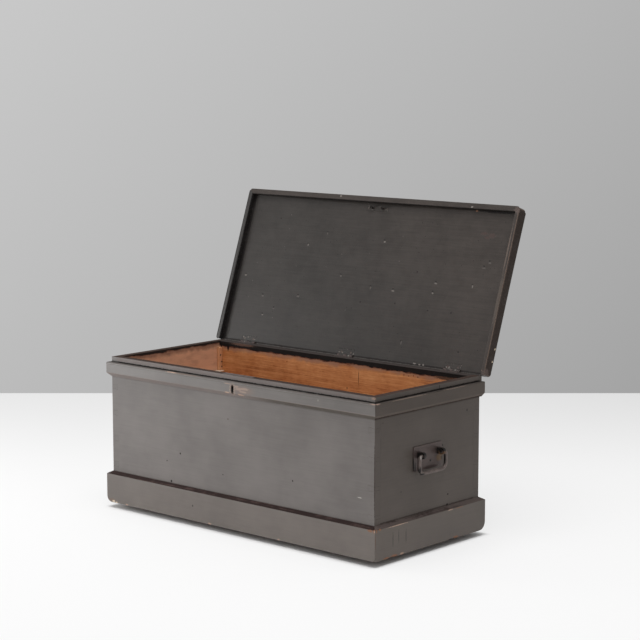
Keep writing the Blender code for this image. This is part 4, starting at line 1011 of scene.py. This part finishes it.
def dress_painted_iron(name, fleck):
    """Iron that was painted over with the lid, worn and flecked."""
    flecks = ((160.0, 0.003, 0.4, fleck),)
    dress_on_lid(
        name, X, LID_LEFT_PAINT_AND_SHEEN, right_tint=LID_RIGHT_PAINT, wear=0.0016, share=0.3, flecks=flecks
    )


def dress_lock(steel):
    """The lock, and the link plate on the lid that its bolt goes into."""
    for name in ("lock_plate", "lock_cap"):
        dress(name, iron("iron_" + name, IRON_BROWN, 0.6, 0.04, *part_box(name)))
    dress("lock_bolt", steel)
    dress_painted_iron("link_plate", LID_SCUFF)


def dress_hinges(steel):
    """The hinges: bare leaves on the body, painted ones on the lid, and steel pins and screws."""
    for place in ("left", "middle", "right"):
        body_leaf = f"hinge_{place}_body_leaf"
        dress(body_leaf, iron("iron_" + body_leaf, IRON_PINK, 0.6, 0.05, *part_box(body_leaf)))
        dress_painted_iron(f"hinge_{place}_lid_leaf", PALE_FLECK)
        dress(f"hinge_{place}_pin", steel)
        for half in ("body", "lid"):
            for number in (1, 2):
                dress(f"hinge_{place}_{half}_screw_{number}", steel)


def add_object(name, data):
    """A new object, linked into the scene."""
    made = bpy.data.objects.new(name, data)
    bpy.context.collection.objects.link(made)
    return made


def add_piece(name, points, faces, material, body):
    """A mesh piece, parented to the empty of a CAD body."""
    mesh = bpy.data.meshes.new(name)
    mesh.from_pydata(points, [], faces)
    mesh.materials.append(material)
    piece = add_object(name, mesh)
    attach(piece, body)


def ring_faces(rings, sides):
    """Faces between rings of points laid one after the other, from the first ring to a last single point."""
    faces = []
    for ring in range(rings - 1):
        for side in range(sides):
            after = (side + 1) % sides
            start = ring * sides
            faces.append((start + side, start + after, start + sides + after, start + sides + side))
    tip = rings * sides
    last = (rings - 1) * sides
    faces += [(last + side, last + (side + 1) % sides, tip) for side in range(sides)]
    faces.append(tuple(reversed(range(sides))))
    return faces


def add_nail(name, place, side, material):
    """A nail with a hammered, domed head in an end of the chest. side is the way it looks along X."""
    points = []
    for ring, (radius, rise) in enumerate(NAIL_PROFILE):
        for number in range(NAIL_SIDES):
            turn = side * 2 * math.pi * number / NAIL_SIDES
            dented = radius * (1.0 + NAIL_DENTING * math.sin(3 * turn + ring))
            offset = Vector((side * rise, dented * math.cos(turn), dented * math.sin(turn)))
            points.append(Vector(place) + offset)
    points.append(Vector(place) + Vector((side * NAIL_TOP, 0.0, 0.0)))
    add_piece(name, points, ring_faces(len(NAIL_PROFILE), NAIL_SIDES), material, "carcase")


def add_screw(name, place, out, rise, material, body):
    """A slotted screw head, in two halves, that stands proud of a plate by rise. out is the way it looks."""
    out = Vector(out).normalized()
    along = Vector((1.0, 0.0, 0.0))
    across = out.cross(along)
    edge = math.asin(SCREW_HALF_SLOT / SCREW_RADIUS)
    turns = [edge + (math.pi - 2 * edge) * step / SCREW_STEPS for step in range(SCREW_STEPS + 1)]
    points = []
    faces = []
    for sign in (1, -1):
        rim = [(SCREW_RADIUS * math.cos(turn), sign * SCREW_RADIUS * math.sin(turn)) for turn in turns]
        first = len(points)
        for height in (rise, rise - SCREW_DEPTH):
            points += [Vector(place) + along * u + across * v + out * height for u, v in rim]
        count = len(rim)
        top = tuple(range(first, first + count))
        floor = tuple(range(first + count, first + 2 * count))
        half = [top, tuple(reversed(floor))]
        for number in range(count):
            after = (number + 1) % count
            half.append((first + number, first + count + number, first + count + after, first + after))
        faces += half if sign == 1 else [tuple(reversed(face)) for face in half]
    add_piece(name, points, faces, material, body)


def add_nails():
    """At each end, one nail in the handle's plate and one in the board beside it. The right ones are seen."""
    black = iron("iron_nail", IRON_DARK, 0.0, -0.1, (-1.0, -1.0, -1.0), (1.0, 1.0, 1.0))
    for end, side in ENDS:
        add_nail(f"plate_nail_{end}", (side * PLATE_FACE, *PLATE_NAIL), side, black)
        add_nail(f"board_nail_{end}", (side * HALF_LENGTH, *BOARD_NAIL), side, black)


def add_lock_screws(steel):
    low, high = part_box("lock_plate")
    for end, x in (("left", low[0] + SCREW_INSET), ("right", high[0] - SCREW_INSET)):
        for row, z in (("low", low[2] + SCREW_INSET), ("high", high[2] - LOCK_SCREW_DROP)):
            place = (x, high[1], z)
            add_screw(f"lock_screw_{end}_{row}", place, (0.0, 1.0, 0.0), LOCK_SCREW_RISE, steel, "carcase")


def add_link_screws(steel):
    """The link plate's screws, worked out on the shut lid and turned up with it."""
    turn = Matrix.Rotation(-LID_OPEN, 3, "X")
    out = turn @ Vector((0.0, 0.0, -1.0))
    low, high = shut_box("link_plate")
    for end, x in (("left", low[0] + SCREW_INSET), ("right", high[0] - SCREW_INSET)):
        shut_place = Vector((x, (low[1] + high[1]) / 2, LID_UNDERSIDE))
        place = turn @ (shut_place - LID_AXIS) + LID_AXIS
        add_screw(f"link_screw_{end}", place, out, LINK_SCREW_RISE, steel, "lid")


def set_camera():
    data = bpy.data.cameras.new("camera")
    data.lens = CAMERA_LENS
    data.sensor_width = SENSOR
    camera = add_object("camera", data)
    camera.location = CAMERA_PLACE
    camera.rotation_euler = (math.pi / 2 - CAMERA_DOWN, 0.0, CAMERA_YAW)
    bpy.context.scene.camera = camera


def floor_paint():
    """A pale floor that is partly bright by itself where it is seen or mirrored.

    So the trunk's wide soft shadow stays faint. Under the trunk and close to it all of the floor is lit, and
    the shadow keeps its depth.
    """
    look = Look("floor")
    look.give({"Base Color": FLOOR_TINT, "Roughness": 0.7, "Specular IOR Level": 0.2})
    x, y, _ = look.split(look.point)
    depth = look.sum((x, -math.sin(CAMERA_YAW)), (y, math.cos(CAMERA_YAW)))
    across = look.sum((x, math.cos(CAMERA_YAW)), (y, math.sin(CAMERA_YAW)))
    back = look.ramp(depth, *FLOOR_FADE)
    tilt = look.times(across, FLOOR_SEEN_ACROSS)
    fall = look.plus(tilt, FLOOR_SEEN_FAR - FLOOR_SEEN_NEAR)
    level = look.plus(look.times(back, fall), FLOOR_SEEN_NEAR)
    beside = look.minus(look.absolute(x), SHADE_HALF_LENGTH)
    before = look.minus(look.absolute(y), PLINTH_Y)
    clear = look.ramp(look.larger(beside, before), *SHADE_EDGE, 0.0, FLOOR_SEEN_SHARE)
    own = look.node("Emission", {"Strength": level})
    share = look.times(clear, look.seen())
    mixed = look.node("MixShader", {0: share, 1: look.shader.outputs[0], 2: own.outputs[0]})
    look.feed(look.tree.nodes["Material Output"].inputs["Surface"], mixed.outputs[0])
    return look.material


def add_floor():
    """The floor, with its far edge where the photo's floor meets its wall."""
    near = (-FLOOR_SIDE, FLOOR_NEAR), (FLOOR_SIDE, FLOOR_NEAR)
    far = (FLOOR_SIDE, FLOOR_FAR), (-FLOOR_SIDE, FLOOR_FAR)
    turn = Matrix.Rotation(CAMERA_YAW, 3, "Z")
    mesh = bpy.data.meshes.new("floor")
    mesh.from_pydata([turn @ Vector((x, y, -FLOOR_DROP)) for x, y in near + far], [], [(0, 1, 2, 3)])
    mesh.materials.append(floor_paint())
    floor = add_object("floor", mesh)


def add_lamp(name, place, size, watts):
    data = bpy.data.lights.new(name, "AREA")
    data.shape = "SQUARE"
    data.size = size
    data.energy = watts
    lamp = add_object(name, data)
    lamp.location = place
    aim = LAMP_TARGET - Vector(place)
    lamp.rotation_euler = aim.to_track_quat("-Z", "Y").to_euler()


def set_world():
    """A grey wall for what is seen or mirrored, and an even fill for the rest of the light."""
    world = bpy.data.worlds.new("studio")
    bpy.context.scene.world = world
    world.use_nodes = True
    world.node_tree.nodes.clear()
    tree = Tree(world.node_tree)
    across = (math.cos(CAMERA_YAW) * WALL_ACROSS, math.sin(CAMERA_YAW) * WALL_ACROSS, WALL_RISE)
    direction = tree.node("TexCoord", {}).outputs["Generated"]
    slope = tree.node("VectorMath", {0: direction, 1: across}, operation="DOT_PRODUCT").outputs["Value"]
    darkest, palest = WALL_RANGE
    shade = tree.node("Clamp", {0: tree.plus(slope, WALL_GREY), 1: darkest, 2: palest}).outputs[0]
    wall = tree.node("Background", {"Color": shade})
    fill = tree.node("Background", {"Color": (1.0, 1.0, 1.0), "Strength": FILL})
    mixed = tree.node("MixShader", {0: tree.seen(), 1: fill.outputs[0], 2: wall.outputs[0]})
    tree.node("OutputWorld", {0: mixed.outputs[0]})


set_camera()
dress_walls()
dress_plinth()
dress_band()
dress_lid_panel()
dress_lid_rims()
dress_bare_wood()
dress_handles()
steel = dull_steel("steel")
dress_lock(steel)
dress_hinges(steel)
add_nails()
add_lock_screws(steel)
add_link_screws(steel)
add_floor()
add_lamp("overhead", place=(0.3, -0.7, 4.4), size=3.0, watts=115.0)
add_lamp("left", place=(-1.9, -1.1, 0.45), size=0.8, watts=19.0)
set_world()
bpy.context.scene.view_settings.view_transform = "Standard"
